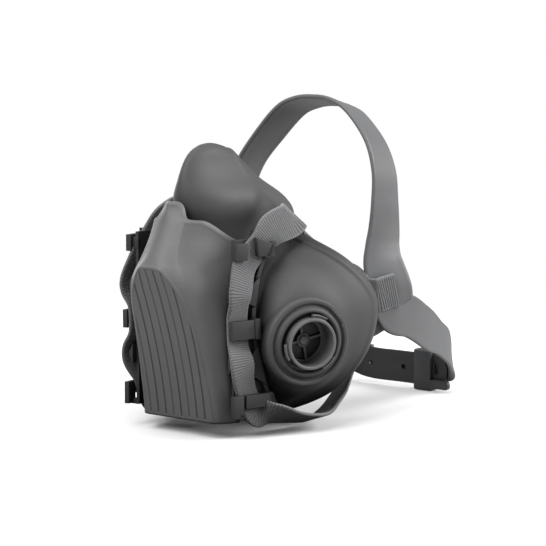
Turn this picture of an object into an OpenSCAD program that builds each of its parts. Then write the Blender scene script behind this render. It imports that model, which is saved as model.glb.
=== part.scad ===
// Half-face respirator: rubber facepiece, front cover, valves, bayonet inlets and a strap harness.
// Millimetres. The wearer looks along -Y, +X is the wearer's left, +Z is up, and the part stands on Z = 0.

/* [Facepiece] */
// Width across the cheeks
face_w = 118; // [110:1:126]
// Half length of the nose cup along its own axis
nose_len = 46; // [44:0.5:52]
// Half width of the nose cup
nose_half_w = 14.5; // [13:0.5:17]
// Tilt of the nose cup above straight ahead, degrees
nose_tilt = 57; // [50:1:58]
// Half height of each cheek lobe
lobe_high = 33; // [31:0.5:35]
// Half width of each cheek lobe
lobe_wide = 24; // [23:0.5:25]
// Half width of the chin cup
chin_half_w = 34; // [30:0.5:38]
// Thickness of the rubber
wall = 2.6; // [2:0.1:3.4]
// How far the face seal turns in past the rim, degrees
seal_turn = 15; // [10:1:18]
// How much the face seal draws in, as a share of its distance from the middle
seal_draw = 0.17; // [0.1:0.01:0.22]

/* [Inlet ports] */
// How far each port lies inside the widest place of the cheeks
port_inset = 10.5; // [9:0.5:12]
// Distance of each port behind the tip of the cover
port_y = 40; // [39:0.5:41.5]
// Height of each port
port_z = 43; // [41:0.5:45]
// How far each port turns from straight ahead to the side, degrees
port_turn = 66; // [62:1:70]
// How far each port looks down, degrees
port_drop = 4; // [0:1:8]
// Radius of the raised ring round a port
port_ring_r = 20; // [19:0.5:21]

/* [Inlet connectors] */
// Outer radius of the bayonet ring
tube_r = 11.8; // [11:0.1:12.4]
// Wall of the bayonet ring
tube_wall = 1.4; // [1.2:0.1:1.8]
// Height of the bayonet ring above the port
tube_out = 5; // [4:0.1:6]
// Depth of the spoke wheel below the port
wheel_depth = 4.5; // [3.5:0.1:5.5]
// Number of bayonet lugs, and of spokes
lug_count = 3; // [3:1:4]
// How far a lug stands out from the ring
lug_out = 1.6; // [1:0.1:2]

/* [Valves] */
// Thickness of the valve flaps
flap_t = 0.6; // [0.4:0.05:0.9]
// Lift of the inlet flaps
inlet_lift = 2; // [1:0.1:2.5]
// Radius of the outlet valve's opening
outlet_r = 13.4; // [12:0.1:14.5]
// Height of the outlet valve
outlet_z = 46; // [44:0.5:48]
// Lift of the outlet flap
outlet_lift = 2.5; // [1:0.1:3]

/* [Front cover] */
// Width of the cover
cover_w = 53; // [51:0.5:55]
// Height of the cover's tip
cover_tip_z = 106.3; // [105:0.5:111]
// Height of the cover's lower edge
cover_low_z = 7; // [6:0.5:10]
// Thickness of the cover
cover_t = 2; // [1.6:0.1:2.6]
// Height of the fluted panel's upper edge
panel_top_z = 78; // [74:0.5:82]
// Half width of the fluted panel at its top
panel_top_w = 10.5; // [9:0.5:12]
// Half width of the fluted panel at its foot
panel_foot_w = 18.5; // [17:0.5:20]
// Number of grooves in the panel
groove_count = 7; // [5:1:9]
// Depth of the grooves
groove_d = 0.7; // [0.4:0.1:1]

/* [Strap frames] */
// Thickness of a frame's plate
frame_t = 1.6; // [1.4:0.1:2]
// Thickness of the loops over the webbing
loop_t = 2.4; // [1.8:0.1:2.8]
// Height of the ridges under the webbing
ridge_h = 1.8; // [1.4:0.1:2.4]
// How far a frame turns out towards its rear, degrees
frame_turn = 10; // [6:1:12]

/* [Harness] */
// Width of the webbing
web_w = 16; // [14:0.5:17]
// Thickness of the webbing
web_t = 1.5; // [1.2:0.1:1.8]
// Width of the head cradle over the crown
band_w = 19.5; // [18:0.5:21]
// Width of the head cradle where the webbing is sewn on
pad_w = 22; // [20:0.5:24]
// Width of the head cradle at its ends
tail_w = 14; // [12:0.5:16]
// Thickness of the head cradle
band_t = 2; // [1.6:0.1:2.4]
// Height of the head cradle's crown
crown_z = 146; // [141:0.5:151]
// Distance of the nape behind the tip of the cover
nape_y = 178; // [172:0.5:184]
// Width of the neck strap
neck_w = 16; // [14:0.5:17]
// Thickness of the neck strap
neck_t = 1.8; // [1.5:0.1:2.2]
// Distance between the neck strap's holes
hole_pitch = 21; // [18:0.5:23]
// Radius of the neck strap's holes
hole_r = 1.3; // [1:0.1:1.6]
// Length of the buckle along the strap
buckle_len = 10; // [8:0.5:12]
// Wall of the buckle
buckle_wall = 2; // [1.6:0.1:2.4]

/* [Hidden] */
$fn = 64;

// Clearances: pieces that slide, pieces that only lie together, and pressed pins
slide_gap = 0.2;
lie_gap = 0.25;
seat_gap = 0.05;

// The shell is a surface seen from this middle point, as a distance for each direction
hub = [0, 62, 58];
cheek = face_w / 2;
shell_around = 60;
shell_rows = 15;
seal_rows = 4;
blend = 12;
front_reach = 51;
nose_shift = 36;
nose_deep = 30;
// The moulding is held as quarters with a hair line between them, so that hulls round it leave the hollow open
quarter_z = 65;
hair = 0.02;
rim_top = 75;
rim_side = 104;
rim_chin = 95;

port = [face_w / 2 - port_inset, port_y, port_z];
port_axis = [
    sin(port_turn) * cos(port_drop),
    -cos(port_turn) * cos(port_drop),
    -sin(port_drop)];
lobe_back = 33;
lobe_len = 46;

// Inlet connector, measured along the port's axis from its rim plane
bore_r = tube_r + slide_gap;
gasket_w = 1.5;
recess_r = bore_r + gasket_w;
recess_d = 1.5;
collar_back = 7;
tube_in_r = tube_r - tube_wall;
wheel_t = 1.8;
seat_w = 1.4;
chamber_r = tube_in_r + 0.5;
chamber_back = wheel_depth + wheel_t + flap_t + inlet_lift + 2;
flange_r = bore_r + 2.5;
flange_t = 1.5;
lug_t = 2;
lug_drop = 0.4;
lug_span = 32;
lug_turn = 28;
hub_r = 3.3;
spoke_w = 1.2;
spoke_inset = 0.2;
spoke_count = 4;
spoke_turn = 12;
stud_r = 1;
stud_head_r = 2.3;
stud_head_t = 0.8;
// The filter's spigot stops above the stud's head
inlet_floor = -wheel_depth + 1.7;
undercut_r = tube_in_r + 0.4;

// Outlet valve, measured forwards from the facepiece's front
outlet_y = 10;
outlet_neck_r = outlet_r + 1.6;
outlet_bore_r = outlet_neck_r + slide_gap;
outlet_flange_r = outlet_neck_r + 2.8;
outlet_flange_t = 1.5;
outlet_boss_r = outlet_bore_r + 3.2;
outlet_boss_h = 0.5;
outlet_boss_back = 7.5;
outlet_seat_w = 2;
outlet_wheel_t = 1.6;
outlet_wheel_z = 0.6;

// Front cover
cover_half = cover_w / 2;
panel_lean = 14;
panel_foot_y = 5;
panel_step = 1.2;
hollow_d = 2.6;
cover_side_y = 9.5;
cover_edge_z = 90;
collar_t = 1.8;

// Strap frames: a plate beside the cover, loops over the webbing and ridges under it
frame_x = cover_half + 0.5;
frame_y = 4.5;
lace = frame_t + lie_gap + web_t / 2;
bulge = lace + ridge_h + lie_gap;
loop_in = lace + web_t / 2 + lie_gap;
rail_t = 1.6;
post_t = 1.6;
rail_y = web_w + 2 * lie_gap;
web_mid = rail_y / 2;
plate_y = 3.5;
foot_flare = 12;
top_flare = 21;
waist_z = 57;
waist_h = 45;
rail_top_z = 74.5;
loop_y = [plate_y, 2.5, 10.5];
stem_h = 2.6;
guide_h = 10;
guide_w = 6;
frame_low_z = 10;
frame_top_z = 90;
loop_z = [frame_top_z - 4, 50, 17.5];
loop_h = [8, 10, 6];
ridge_z = [66, 34];
ridge_w = 9;
pin_z = [58.2, 24.5];
pin_y = 12.5;
pin_r = 1.6;
pin_head_r = 3;
pin_head_t = 0.9;
pin_len = 4;
boss_r = 3.2;
boss_pad = 1.5;

// Harness
patch = [49, 100.3, 60.5];
patch_out = [0.885, -0.465, 0];
patch_back = [0.455, 0.867, 0.2];
patch_skin = (band_t + web_t) / 2 + lie_gap;
crown_lean = 5.2;
tuck_gap = 0.8;
neck_z = neck_w / 2 + buckle_wall + lie_gap;
neck_y = nape_y - (band_t + neck_t) / 2 - tuck_gap;
buckle_x = 14.5;
neck_end_x = 18;
hook_len = 9;
hook_h = 5;
slot_h = 6;

// The frame's origin is under the middle of the box, so every piece moves back by this much
front_y = panel_foot_y - panel_lean;
rear_y = max(nape_y + band_t / 2, neck_y + neck_t / 2 + lie_gap + buckle_wall);
middle_y = (front_y + rear_y) / 2;

rubber = [0.33, 0.33, 0.34];
plastic = [0.3, 0.3, 0.31];
dark = [0.16, 0.16, 0.17];
web_grey = [0.55, 0.55, 0.56];
soft_grey = [0.42, 0.42, 0.43];

function unit(v) = v / norm(v);
// A place on a strap frame, out from its inner face, back from its front and up
function on_frame(out, back, z) = [
    frame_x + out * cos(frame_turn) + back * sin(frame_turn),
    frame_y - out * sin(frame_turn) + back * cos(frame_turn),
    z];
function smooth(a, b, x) = let (t = max(0, min(1, (x - a) / (b - a)))) t * t * (3 - 2 * t);

// Distance from the hub, along direction d, to where it leaves an ellipsoid with the given axes
function leaves(d, centre, axes, radii) =
    let (o = [for (i = [0:2]) axes[i] * (hub - centre) / radii[i]],
         v = [for (i = [0:2]) axes[i] * d / radii[i]],
         a = v * v, b = v * o, c = o * o - 1, s = b * b - a * c)
    s > 0 ? max(0.1, (sqrt(s) - b) / a) : 0.1;

// The same distance, held back softly by a plane with normal n at reach h from the hub
function held(r, d, n, h, q) = pow(pow(r, -q) + pow(max(0, d * n) / h, q), -1 / q);

square_axes = [[1, 0, 0], [0, 1, 0], [0, 0, 1]];
ahead = [0, -1, 0];
nose_axis = [0, -cos(nose_tilt), sin(nose_tilt)];
nose_axes = [[1, 0, 0], nose_axis, [0, sin(nose_tilt), cos(nose_tilt)]];

function lobe(d, side) =
    let (n = [side * port_axis[0], port_axis[1], port_axis[2]],
         p = [side * port[0], port[1], port[2]],
         across = unit([-n[1], n[0], 0]))
    held(leaves(d, p - lobe_back * n, [n, across, cross(n, across)], [lobe_len, lobe_wide, lobe_high]),
         d, n, (p - hub) * n, 14);

function shell_reach(d) =
    let (forms = [
        leaves(d, [0, 72, 55], square_axes, [cheek, 46, 50.5]),
        held(leaves(d, [0, 52, 52], square_axes, [33, 44, 47.7]), d, ahead, front_reach, 12),
        leaves(d, hub + nose_shift * nose_axis, nose_axes, [nose_half_w, nose_len, nose_deep]),
        leaves(d, [0, 62, 64], square_axes, [40, 36, 52]),
        lobe(d, 1),
        lobe(d, -1),
        held(leaves(d, [0, 44, 32.5], square_axes, [chin_half_w, 42, 28.5]), d, ahead, front_reach, 12)],
        powers = [for (r = forms) pow(r, blend)])
    pow(powers * [for (r = forms) 1], 1 / blend);

// Angle of the rim from straight ahead; a is 90 at the nose, 0 at a cheek and -90 at the chin
function rim(a) =
    let (s = sin(a))
    s > 0 ? rim_side + (rim_top - rim_side) * pow(sin(90 * s), 1.4)
          : rim_side + (rim_chin - rim_side) * s * s;

function heading(turn, a) = [sin(turn) * cos(a), -cos(turn), sin(turn) * sin(a)];

// A point of the shell in row i, set in by depth: rows past the rim curl in as the face seal
function shell_point(i, a, depth) =
    let (k = max(0, i - shell_rows) / seal_rows,
         d = heading(rim(a) * min(i, shell_rows) / shell_rows + seal_turn * k, a),
         r = shell_reach(d) * (1 - seal_draw * k * k))
    hub + (r - depth) * d;

module face_shell() {
    rows = shell_rows + seal_rows;
    n = shell_around;
    sheet = rows * n + 1;
    points = [
        for (depth = [0, wall])
            for (i = [0:rows])
                for (j = [0:(i == 0 ? 0 : n - 1)])
                    shell_point(i, 360 * j / n, depth)];
    function at(s, i, j) = s * sheet + (i == 0 ? 0 : 1 + (i - 1) * n + j % n);
    faces = concat(
        [for (s = [0, 1], j = [0:n - 1])
            s == 0 ? [at(s, 0, 0), at(s, 1, j + 1), at(s, 1, j)]
                   : [at(s, 0, 0), at(s, 1, j), at(s, 1, j + 1)]],
        [for (s = [0, 1], i = [1:rows - 1], j = [0:n - 1], half = [0, 1])
            let (a = at(s, i, j), b = at(s, i, j + 1), c = at(s, i + 1, j + 1), e = at(s, i + 1, j),
                 f = half == 0 ? [c, e, a] : [b, c, a])
            s == 0 ? f : [f[2], f[1], f[0]]],
        [for (j = [0:n - 1], half = [0, 1])
            let (a = at(0, rows, j), b = at(0, rows, j + 1), c = at(1, rows, j + 1), e = at(1, rows, j))
            half == 0 ? [c, e, a] : [b, c, a]]);
    polyhedron(points, faces);
}

module on_side(side) {
    if (side > 0) children();
    else mirror([1, 0, 0]) children();
}

// Moves a piece made along +Z onto a port, looking out of it
module at_port() {
    translate(port) rotate([0, acos(port_axis[2]), atan2(port_axis[1], port_axis[0])]) children();
}

// Moves a piece made along +Z onto the outlet, looking ahead
module at_outlet() {
    translate([0, outlet_y, outlet_z]) rotate([90, 0, 0]) children();
}

// Moves a piece made with X outwards and Y backwards onto a strap frame
module at_frame() {
    translate([frame_x, frame_y, 0]) rotate([0, 0, -frame_turn]) children();
}

// Sets a finished piece in the frame
module assembled() {
    translate([0, -middle_y, 0]) children();
}

module ring(r_out, r_in, low, high) {
    rotate_extrude() translate([r_in, low]) square([r_out - r_in, high - low]);
}

// Raised rubber rings round an inlet port
module port_collar() {
    groove_r = port_ring_r - 3;
    torus_r = groove_r - 1;
    rotate_extrude() polygon([
        [bore_r, -collar_back], [port_ring_r, -collar_back], [port_ring_r, 0.2], [port_ring_r - 0.9, 1],
        [groove_r + 0.7, 1], [groove_r, 0.1], [torus_r, 1.2], [torus_r - 0.9, 2.1],
        [recess_r + 0.9, 2.1], [recess_r, 1.3], [recess_r, -recess_d], [bore_r, -recess_d]]);
}

// Rubber posts that carry the strap frames
module frame_boss(z) {
    foot = on_frame(0, pin_y, z);
    d = unit(foot - hub);
    start = hub + (shell_reach(d) - wall - boss_pad) * d;
    translate(start) rotate([0, acos(d[2]), atan2(d[1], d[0])])
        cylinder(r = boss_r, h = norm(foot - start) + boss_r);
}

// Room that the facepiece leaves for a strap frame and its pins
module frame_room() {
    translate([0, lie_gap, 0])
        frame_slab(0, 2 * rail_y, -rail_y, frame_low_z - lie_gap, frame_top_z + lie_gap);
    for (z = pin_z) translate([-pin_len - seat_gap, pin_y, z]) rotate([0, 90, 0])
        cylinder(r = pin_r + seat_gap, h = pin_len + 1);
}

module facepiece() color(rubber) {
    difference() {
        union() {
            face_shell();
            for (side = [1, -1]) on_side(side) {
                at_port() port_collar();
                for (z = pin_z) frame_boss(z);
            }
            at_outlet() ring(outlet_boss_r, outlet_bore_r, -outlet_boss_back, outlet_boss_h);
        }
        for (side = [1, -1]) on_side(side) at_port() {
            translate([0, 0, -3 * collar_back]) cylinder(r = bore_r, h = 6 * collar_back);
            translate([0, 0, -recess_d]) cylinder(r = recess_r, h = 3 * collar_back);
        }
        at_outlet() translate([0, 0, -3 * outlet_boss_back])
            cylinder(r = outlet_bore_r, h = 6 * outlet_boss_back);
        for (side = [1, -1]) on_side(side) at_frame() frame_room();
        translate([-hair / 2, -face_w, -face_w]) cube([hair, 4 * face_w, 4 * face_w]);
        translate([-2 * face_w, -face_w, quarter_z]) cube([4 * face_w, 4 * face_w, hair]);
    }
}

// Hub with a hole for a stud, and spokes that reach a seat ring of inner radius r, from low to high
module spoke_wheel(r, low, high) {
    difference() {
        union() {
            translate([0, 0, low]) cylinder(r = hub_r, h = high - low);
            for (i = [0:spoke_count - 1]) rotate([0, 0, 360 * i / spoke_count + spoke_turn])
                translate([hub_r - spoke_w / 2, -spoke_w / 2, low + spoke_inset])
                    cube([r - hub_r + spoke_w, spoke_w, high - low - 2 * spoke_inset]);
        }
        translate([0, 0, low - 1]) cylinder(r = stud_r + slide_gap / 2, h = high - low + 2);
    }
}

module inlet_connector(side) color(plastic) on_side(side) at_port() {
    wheel_low = -wheel_depth - wheel_t;
    seat_r = tube_in_r - seat_w;
    flange_high = -collar_back - slide_gap;
    rotate_extrude() polygon([
        [chamber_r, -chamber_back], [tube_r, -chamber_back], [tube_r, flange_high - flange_t],
        [flange_r, flange_high - flange_t], [flange_r, flange_high], [tube_r, flange_high],
        [tube_r, tube_out], [tube_in_r, tube_out], [tube_in_r, inlet_floor], [undercut_r, inlet_floor],
        [undercut_r, -wheel_depth], [seat_r, -wheel_depth],
        [seat_r, wheel_low], [chamber_r, wheel_low]]);
    spoke_wheel(seat_r, wheel_low, -wheel_depth);
    for (i = [0:lug_count - 1]) rotate([0, 0, 360 * i / lug_count + lug_turn])
        rotate_extrude(angle = lug_span) translate([tube_r - tube_wall / 2, tube_out - lug_drop - lug_t])
            square([lug_out + tube_wall / 2, lug_t]);
}

module inlet_gasket(side) color(dark) on_side(side) at_port()
    ring(recess_r - slide_gap, bore_r, -recess_d + seat_gap, -recess_d + 1.2);

module inhalation_flap(side) color(dark) on_side(side) at_port()
    ring(tube_in_r - slide_gap, stud_r + slide_gap, -wheel_depth - wheel_t - seat_gap - flap_t,
         -wheel_depth - wheel_t - seat_gap);

// Stud with a round head at each end; the flap slides on it
module stud(low, high) {
    translate([0, 0, low]) cylinder(r = stud_r, h = high - low);
    translate([0, 0, low - stud_head_t]) cylinder(r = stud_head_r * 0.85, h = stud_head_t);
    rotate_extrude() polygon([
        [0, high], [stud_head_r, high], [stud_head_r, high + stud_head_t * 0.5],
        [stud_head_r * 0.75, high + stud_head_t], [0, high + stud_head_t * 1.2]]);
}

module inhalation_stud(side) color(plastic) on_side(side) at_port()
    stud(-wheel_depth - wheel_t - seat_gap - flap_t - inlet_lift - 0.4, -wheel_depth);

module exhalation_seat() color(plastic) at_outlet() {
    front = outlet_boss_h + slide_gap;
    rear = -outlet_boss_back - slide_gap;
    wheel_low = outlet_wheel_z - outlet_wheel_t;
    seat_r = outlet_r - outlet_seat_w;
    rotate_extrude() polygon([
        [outlet_r, rear - outlet_flange_t], [outlet_flange_r, rear - outlet_flange_t],
        [outlet_flange_r, rear], [outlet_neck_r, rear], [outlet_neck_r, front],
        [outlet_flange_r, front], [outlet_flange_r, front + outlet_flange_t],
        [outlet_r, front + outlet_flange_t], [outlet_r, outlet_wheel_z], [seat_r, outlet_wheel_z],
        [seat_r, wheel_low], [outlet_r, wheel_low]]);
    spoke_wheel(seat_r, wheel_low, outlet_wheel_z);
}

module exhalation_flap() color(dark) at_outlet() {
    low = outlet_wheel_z + seat_gap;
    ring(outlet_r - slide_gap, stud_r + slide_gap, low, low + flap_t);
}

module exhalation_stud() color(plastic) at_outlet()
    stud(outlet_wheel_z - outlet_wheel_t, outlet_wheel_z + seat_gap + flap_t + outlet_lift + 0.4);

// Front cover as a depth for each place (x, z): a fluted panel, a hollow beside it and a full wing
function panel_half(z) =
    panel_foot_w + (panel_top_w - panel_foot_w) * (z - cover_low_z) / (panel_top_z - cover_low_z);
function panel_y(z) = panel_foot_y - panel_lean * (z - cover_low_z) / (panel_top_z - cover_low_z);
function middle_line_y(z) = z < panel_top_z ? panel_y(z)
    : let (t = (z - panel_top_z) / (cover_tip_z - panel_top_z))
      panel_y(panel_top_z) * (1 - smooth(0, 1.1, t));
function side_y(z) =
    cover_side_y + 6.5 * pow(max(0, (45 - z) / 38), 2) + 6 * smooth(55, cover_edge_z, z);
function top_z(x) =
    cover_edge_z + (cover_tip_z - cover_edge_z) * (exp(-pow(x / 8, 2)) + 1 - pow(x / cover_half, 2)) / 2;

// s runs from the middle (0) over the panel's edge (1) to the side (2); groove is 1 at a groove's floor
function cover_y(s, z, groove) =
    let (a = abs(s), t = max(0, a - 1), front = middle_line_y(z),
         fluted = smooth(cover_low_z + 1, cover_low_z + 3, z)
             * (1 - smooth(panel_top_z - 2.5, panel_top_z - 1, z)),
         step = panel_step * (1 - smooth(panel_top_z, panel_top_z + 6, z)),
         hollow = hollow_d * sin(180 * pow(t, 0.6)),
         roof = 1 - 0.4 * smooth(panel_top_z, cover_edge_z + 5, z))
    a <= 1 ? front + groove * groove_d * fluted
           : front + step * smooth(0, 0.12, t) + (side_y(z) - front - step) * pow(t, roof) + hollow * (1 - t);

// Columns across the cover as [s, groove]: three for each groove, then the wing
panel_columns = [for (i = [-(groove_count - 1) / 2:(groove_count - 1) / 2], k = [-1, 0, 1])
    [(i * 2 / (groove_count + 1)) + k * 0.07, k == 0 ? 1 : 0]];
wing_steps = [0, 0.06, 0.14, 0.26, 0.4, 0.55, 0.7, 0.85, 1];
columns = concat(
    [for (i = [len(wing_steps) - 1:-1:0]) [-1 - wing_steps[i], 0]],
    panel_columns,
    [for (w = wing_steps) [1 + w, 0]]);
level_rows = concat(
    [cover_low_z, cover_low_z + 1, cover_low_z + 3],
    [for (i = [1:6]) cover_low_z + 3 + (panel_top_z - 5.5 - cover_low_z) * i / 6],
    [panel_top_z - 1, panel_top_z, panel_top_z + 2]);
rising_rows = 7;

function cover_x(s, z) =
    let (p = max(4, panel_half(z)), a = abs(s))
    sign(s) * (a <= 1 ? a * p : p + (cover_half - p) * (a - 1));
function cover_z(s, i) =
    i < len(level_rows) ? level_rows[i]
    : let (low = level_rows[len(level_rows) - 1], x = cover_x(s, cover_tip_z))
      low + (top_z(x) - low) * (i - len(level_rows) + 1) / rising_rows;

// Closed body between the cover's face, set back by front_in, and either the same face set back
// by back_in or a flat plane behind it
module cover_body(front_in, back_in, flat_back) {
    rows = len(level_rows) + rising_rows;
    cols = len(columns);
    points = [
        for (back = [0, 1], i = [0:rows - 1], c = columns)
            let (z = cover_z(c[0], i),
                 y = back == 0 ? cover_y(c[0], z, c[1]) + front_in
                     : flat_back ? back_in : cover_y(c[0], z, 0) + back_in)
            [cover_x(c[0], z), y, z]];
    function at(back, i, j) = back * rows * cols + i * cols + j;
    function quad(a, b, c, e) = [[a, b, c], [a, c, e]];
    edge = concat(
        [for (j = [0:cols - 1]) [0, j]],
        [for (i = [1:rows - 1]) [i, cols - 1]],
        [for (j = [cols - 2:-1:0]) [rows - 1, j]],
        [for (i = [rows - 2:-1:1]) [i, 0]]);
    faces = concat(
        [for (i = [0:rows - 2], j = [0:cols - 2])
            each quad(at(0, i, j), at(0, i + 1, j), at(0, i + 1, j + 1), at(0, i, j + 1))],
        [for (i = [0:rows - 2], j = [0:cols - 2])
            each quad(at(1, i, j), at(1, i, j + 1), at(1, i + 1, j + 1), at(1, i + 1, j))],
        [for (k = [0:len(edge) - 1])
            let (p = edge[k], q = edge[(k + 1) % len(edge)])
            each quad(at(0, p[0], p[1]), at(0, q[0], q[1]), at(1, q[0], q[1]), at(1, p[0], p[1]))]);
    polyhedron(points, faces);
}

// The cover snaps onto the outlet seat with a round collar on its back
module front_cover() color(plastic) {
    collar_in = outlet_flange_r + slide_gap;
    cover_body(0, cover_t, false);
    intersection() {
        at_outlet() ring(collar_in + collar_t, collar_in, outlet_boss_h + slide_gap + 0.3, 40);
        cover_body(cover_t / 2, outlet_y + 2, true);
    }
}

// Strap frame: plate, rear rail, open loops and a guide over the webbing, and ridges under it
function rail_back(z) =
    rail_y + (z < waist_z ? foot_flare : top_flare) * pow((z - waist_z) / waist_h, 2);

// Slab from low to high with its rear edge along the rail, front at y and thick from x outwards
module frame_slab(x, thick, y, low, high) {
    rows = [for (i = [0:8]) low + (high - low) * i / 8];
    translate([x, 0, 0]) rotate([90, 0, 90]) linear_extrude(thick)
        polygon(concat([[y, high], [y, low]], [for (z = rows) [rail_back(z) + rail_t, z]]));
}

// The rail alone, from the plate's inner face outwards
module frame_rail(thick, low, high) {
    rows = [for (i = [0:8]) low + (high - low) * i / 8];
    rotate([90, 0, 90]) linear_extrude(thick) polygon(concat(
        [for (i = [len(rows) - 1:-1:0]) [rail_back(rows[i]), rows[i]]],
        [for (z = rows) [rail_back(z) + rail_t, z]]));
}

module strap_frame(side) color(plastic) on_side(side) at_frame() {
    full = loop_in + loop_t;
    difference() {
        union() {
            frame_slab(0, frame_t, plate_y, frame_low_z, frame_top_z);
            frame_rail(frame_t + ridge_h, loop_z[2], rail_top_z);
            for (i = [1, 2]) {
                frame_slab(loop_in, loop_t, loop_y[i], loop_z[i] - loop_h[i] / 2, loop_z[i] + loop_h[i] / 2);
                frame_rail(full, loop_z[i] - loop_h[i] / 2, loop_z[i] + loop_h[i] / 2);
            }
            // The top loop and the guide at the foot hold on in front of the webbing
            frame_slab(loop_in, loop_t, loop_y[0], frame_top_z - loop_h[0], frame_top_z);
            translate([0, loop_y[0], frame_top_z - stem_h]) cube([full, post_t, stem_h]);
            translate([loop_in, plate_y, frame_low_z]) cube([loop_t, guide_w, guide_h]);
            translate([0, plate_y, frame_low_z]) cube([full, post_t, stem_h]);
            for (z = ridge_z) translate([frame_t - 0.2, rail_y + 0.1, z]) rotate([90, 0, 0])
                linear_extrude(rail_y - plate_y)
                    polygon([[0, -ridge_w / 2], [ridge_h + 0.2, -1], [ridge_h + 0.2, 1], [0, ridge_w / 2]]);
        }
        for (z = pin_z) translate([0, pin_y, z]) rotate([0, 90, 0]) {
            translate([0, 0, -1]) cylinder(r = pin_r + seat_gap, h = frame_t + 2);
            translate([0, 0, frame_t - pin_head_t - seat_gap])
                cylinder(r = pin_head_r + slide_gap, h = ridge_h + 3);
        }
    }
}

// Push pins from the frame's plate into the facepiece's posts
module frame_pins(side) color(dark) on_side(side) at_frame()
    for (z = pin_z) translate([-pin_len, pin_y, z]) rotate([0, 90, 0]) {
        cylinder(r = pin_r, h = pin_len + frame_t);
        translate([0, 0, pin_len + frame_t - pin_head_t]) cylinder(r = pin_head_r, h = pin_head_t);
    }

// Straps run through stations, each a point, the way its outer face looks and its width
function between(a, b, c, d, t) =
    0.5 * (2 * b + (c - a) * t + (2 * a - 5 * b + 4 * c - d) * t * t + (3 * b - a - 3 * c + d) * t * t * t);
function run(route, part, steps) =
    let (last = len(route) - 1)
    concat([for (i = [0:last - 1], k = [0:steps - 1])
        between(route[max(0, i - 1)][part], route[i][part], route[i + 1][part],
                route[min(last, i + 2)][part], k / steps)],
        [route[last][part]]);

module strap(route, thick, steps) {
    path = run(route, 0, steps);
    faceward = run(route, 1, steps);
    width = run(route, 2, steps);
    last = len(path) - 1;
    rings = [for (i = [0:last])
        let (t = unit(path[min(last, i + 1)] - path[max(0, i - 1)]),
             a = unit(cross(faceward[i], t)) * width[i] / 2,
             n = cross(t, unit(a)) * thick / 2)
        [for (c = [[1, 1], [1, -1], [-1, -1], [-1, 1]]) path[i] + c[0] * a + c[1] * n]];
    points = [for (r = rings, p = r) p];
    faces = concat(
        [for (i = [0:last - 1], k = [0:3], half = [0, 1])
            let (a = 4 * i + k, b = 4 * i + (k + 1) % 4)
            half == 0 ? [a, b, b + 4] : [a, b + 4, a + 4]],
        [[3, 2, 1], [3, 1, 0]],
        [[4 * last, 4 * last + 1, 4 * last + 2], [4 * last, 4 * last + 2, 4 * last + 3]]);
    polyhedron(points, faces);
}

// A place by the sewn patch, out from the middle of the cradle and back along the webbing
function on_patch(out, back) = patch + out * patch_out + back * patch_back;

// Webbing: from the patch over the rim, laced down the frame, then under the cheek to the patch's inner side
lace_out = [cos(frame_turn), -sin(frame_turn), 0];
function under(i) = [for (k = [1, -1])
    [on_frame(lace, web_mid, loop_z[i] + k * (loop_h[i] / 2 + 1)), lace_out]];
function over(i) = [[on_frame(bulge, web_mid + i / 2, ridge_z[i]), lace_out]];
web_line = concat([
    [on_patch(patch_skin, 2), patch_out],
    [on_patch(patch_skin, -3), patch_out],
    [on_patch(patch_skin, -9), [0.8, -0.58, 0]],
    [[40.5, 88.3, 60.6], [0.5, -0.86, 0], web_w - 1],
    [[36, 84.5, 67], [0.6, -0.55, 0.55]],
    [[33.5, 80.5, 76], [0.72, 0.25, 0.6]],
    [[31.5, 75, 84.5], [0.64, 0.6, 0.48]],
    [[30.6, 67.8, 93], [0.58, 0.6, 0.56]],
    [[33.7, 56.3, 98], [0.52, 0.48, 0.7]],
    [[36.5, 47.5, 97], [0.88, -0.15, 0.42]],
    [[34.2, 33, 93.5], [0.95, -0.15, 0.25]],
    [on_frame(lace, web_mid + 13, loop_z[0] + 1.5), lace_out],
    [on_frame(lace, web_mid + 4, loop_z[0] - loop_h[0] / 2 - 3), lace_out]],
    over(0), under(1), over(1), [
    [on_frame(lace, web_mid + 4, loop_z[2] + 6), lace_out],
    [on_frame(lace, web_mid + 7.2, loop_z[2] - 2.5), lace_out, web_w - 4],
    [on_frame(lace, web_mid + 12, loop_z[2] - 7.3), lace_out, web_w - 5],
    [[36.8, 30.5, 9.4], [0.68, -0.03, -0.72], web_w - 3],
    [[38.3, 38, 7.6], [0.42, 0.05, -0.9]],
    [[38.8, 47, 6.4], [0.3, 0.12, -0.94]],
    [[38.2, 59, 5.2], [0.3, 0.25, -0.92]],
    [[36.3, 69, 7.6], [0.36, 0.5, -0.78]],
    [[35, 79, 13], [0.45, 0.7, -0.55]],
    [[36.6, 88.6, 26], [0.7, 0.64, -0.3], web_w - 2],
    [[40.2, 94.3, 39], [0.86, 0.45, -0.2]],
    [on_patch(-patch_skin - 1.5, 1) + [0, 0, -10], [0.95, -0.2, -0.1]],
    [on_patch(-patch_skin, 1), patch_out],
    [on_patch(-patch_skin, 2) + [-2.3, -0.2, 7], patch_out]]);
web_route = [for (s = web_line) [s[0], s[1], len(s) > 2 ? s[2] : web_w]];

module webbing(side) color(web_grey) on_side(side) strap(web_route, web_t, 4);

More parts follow.
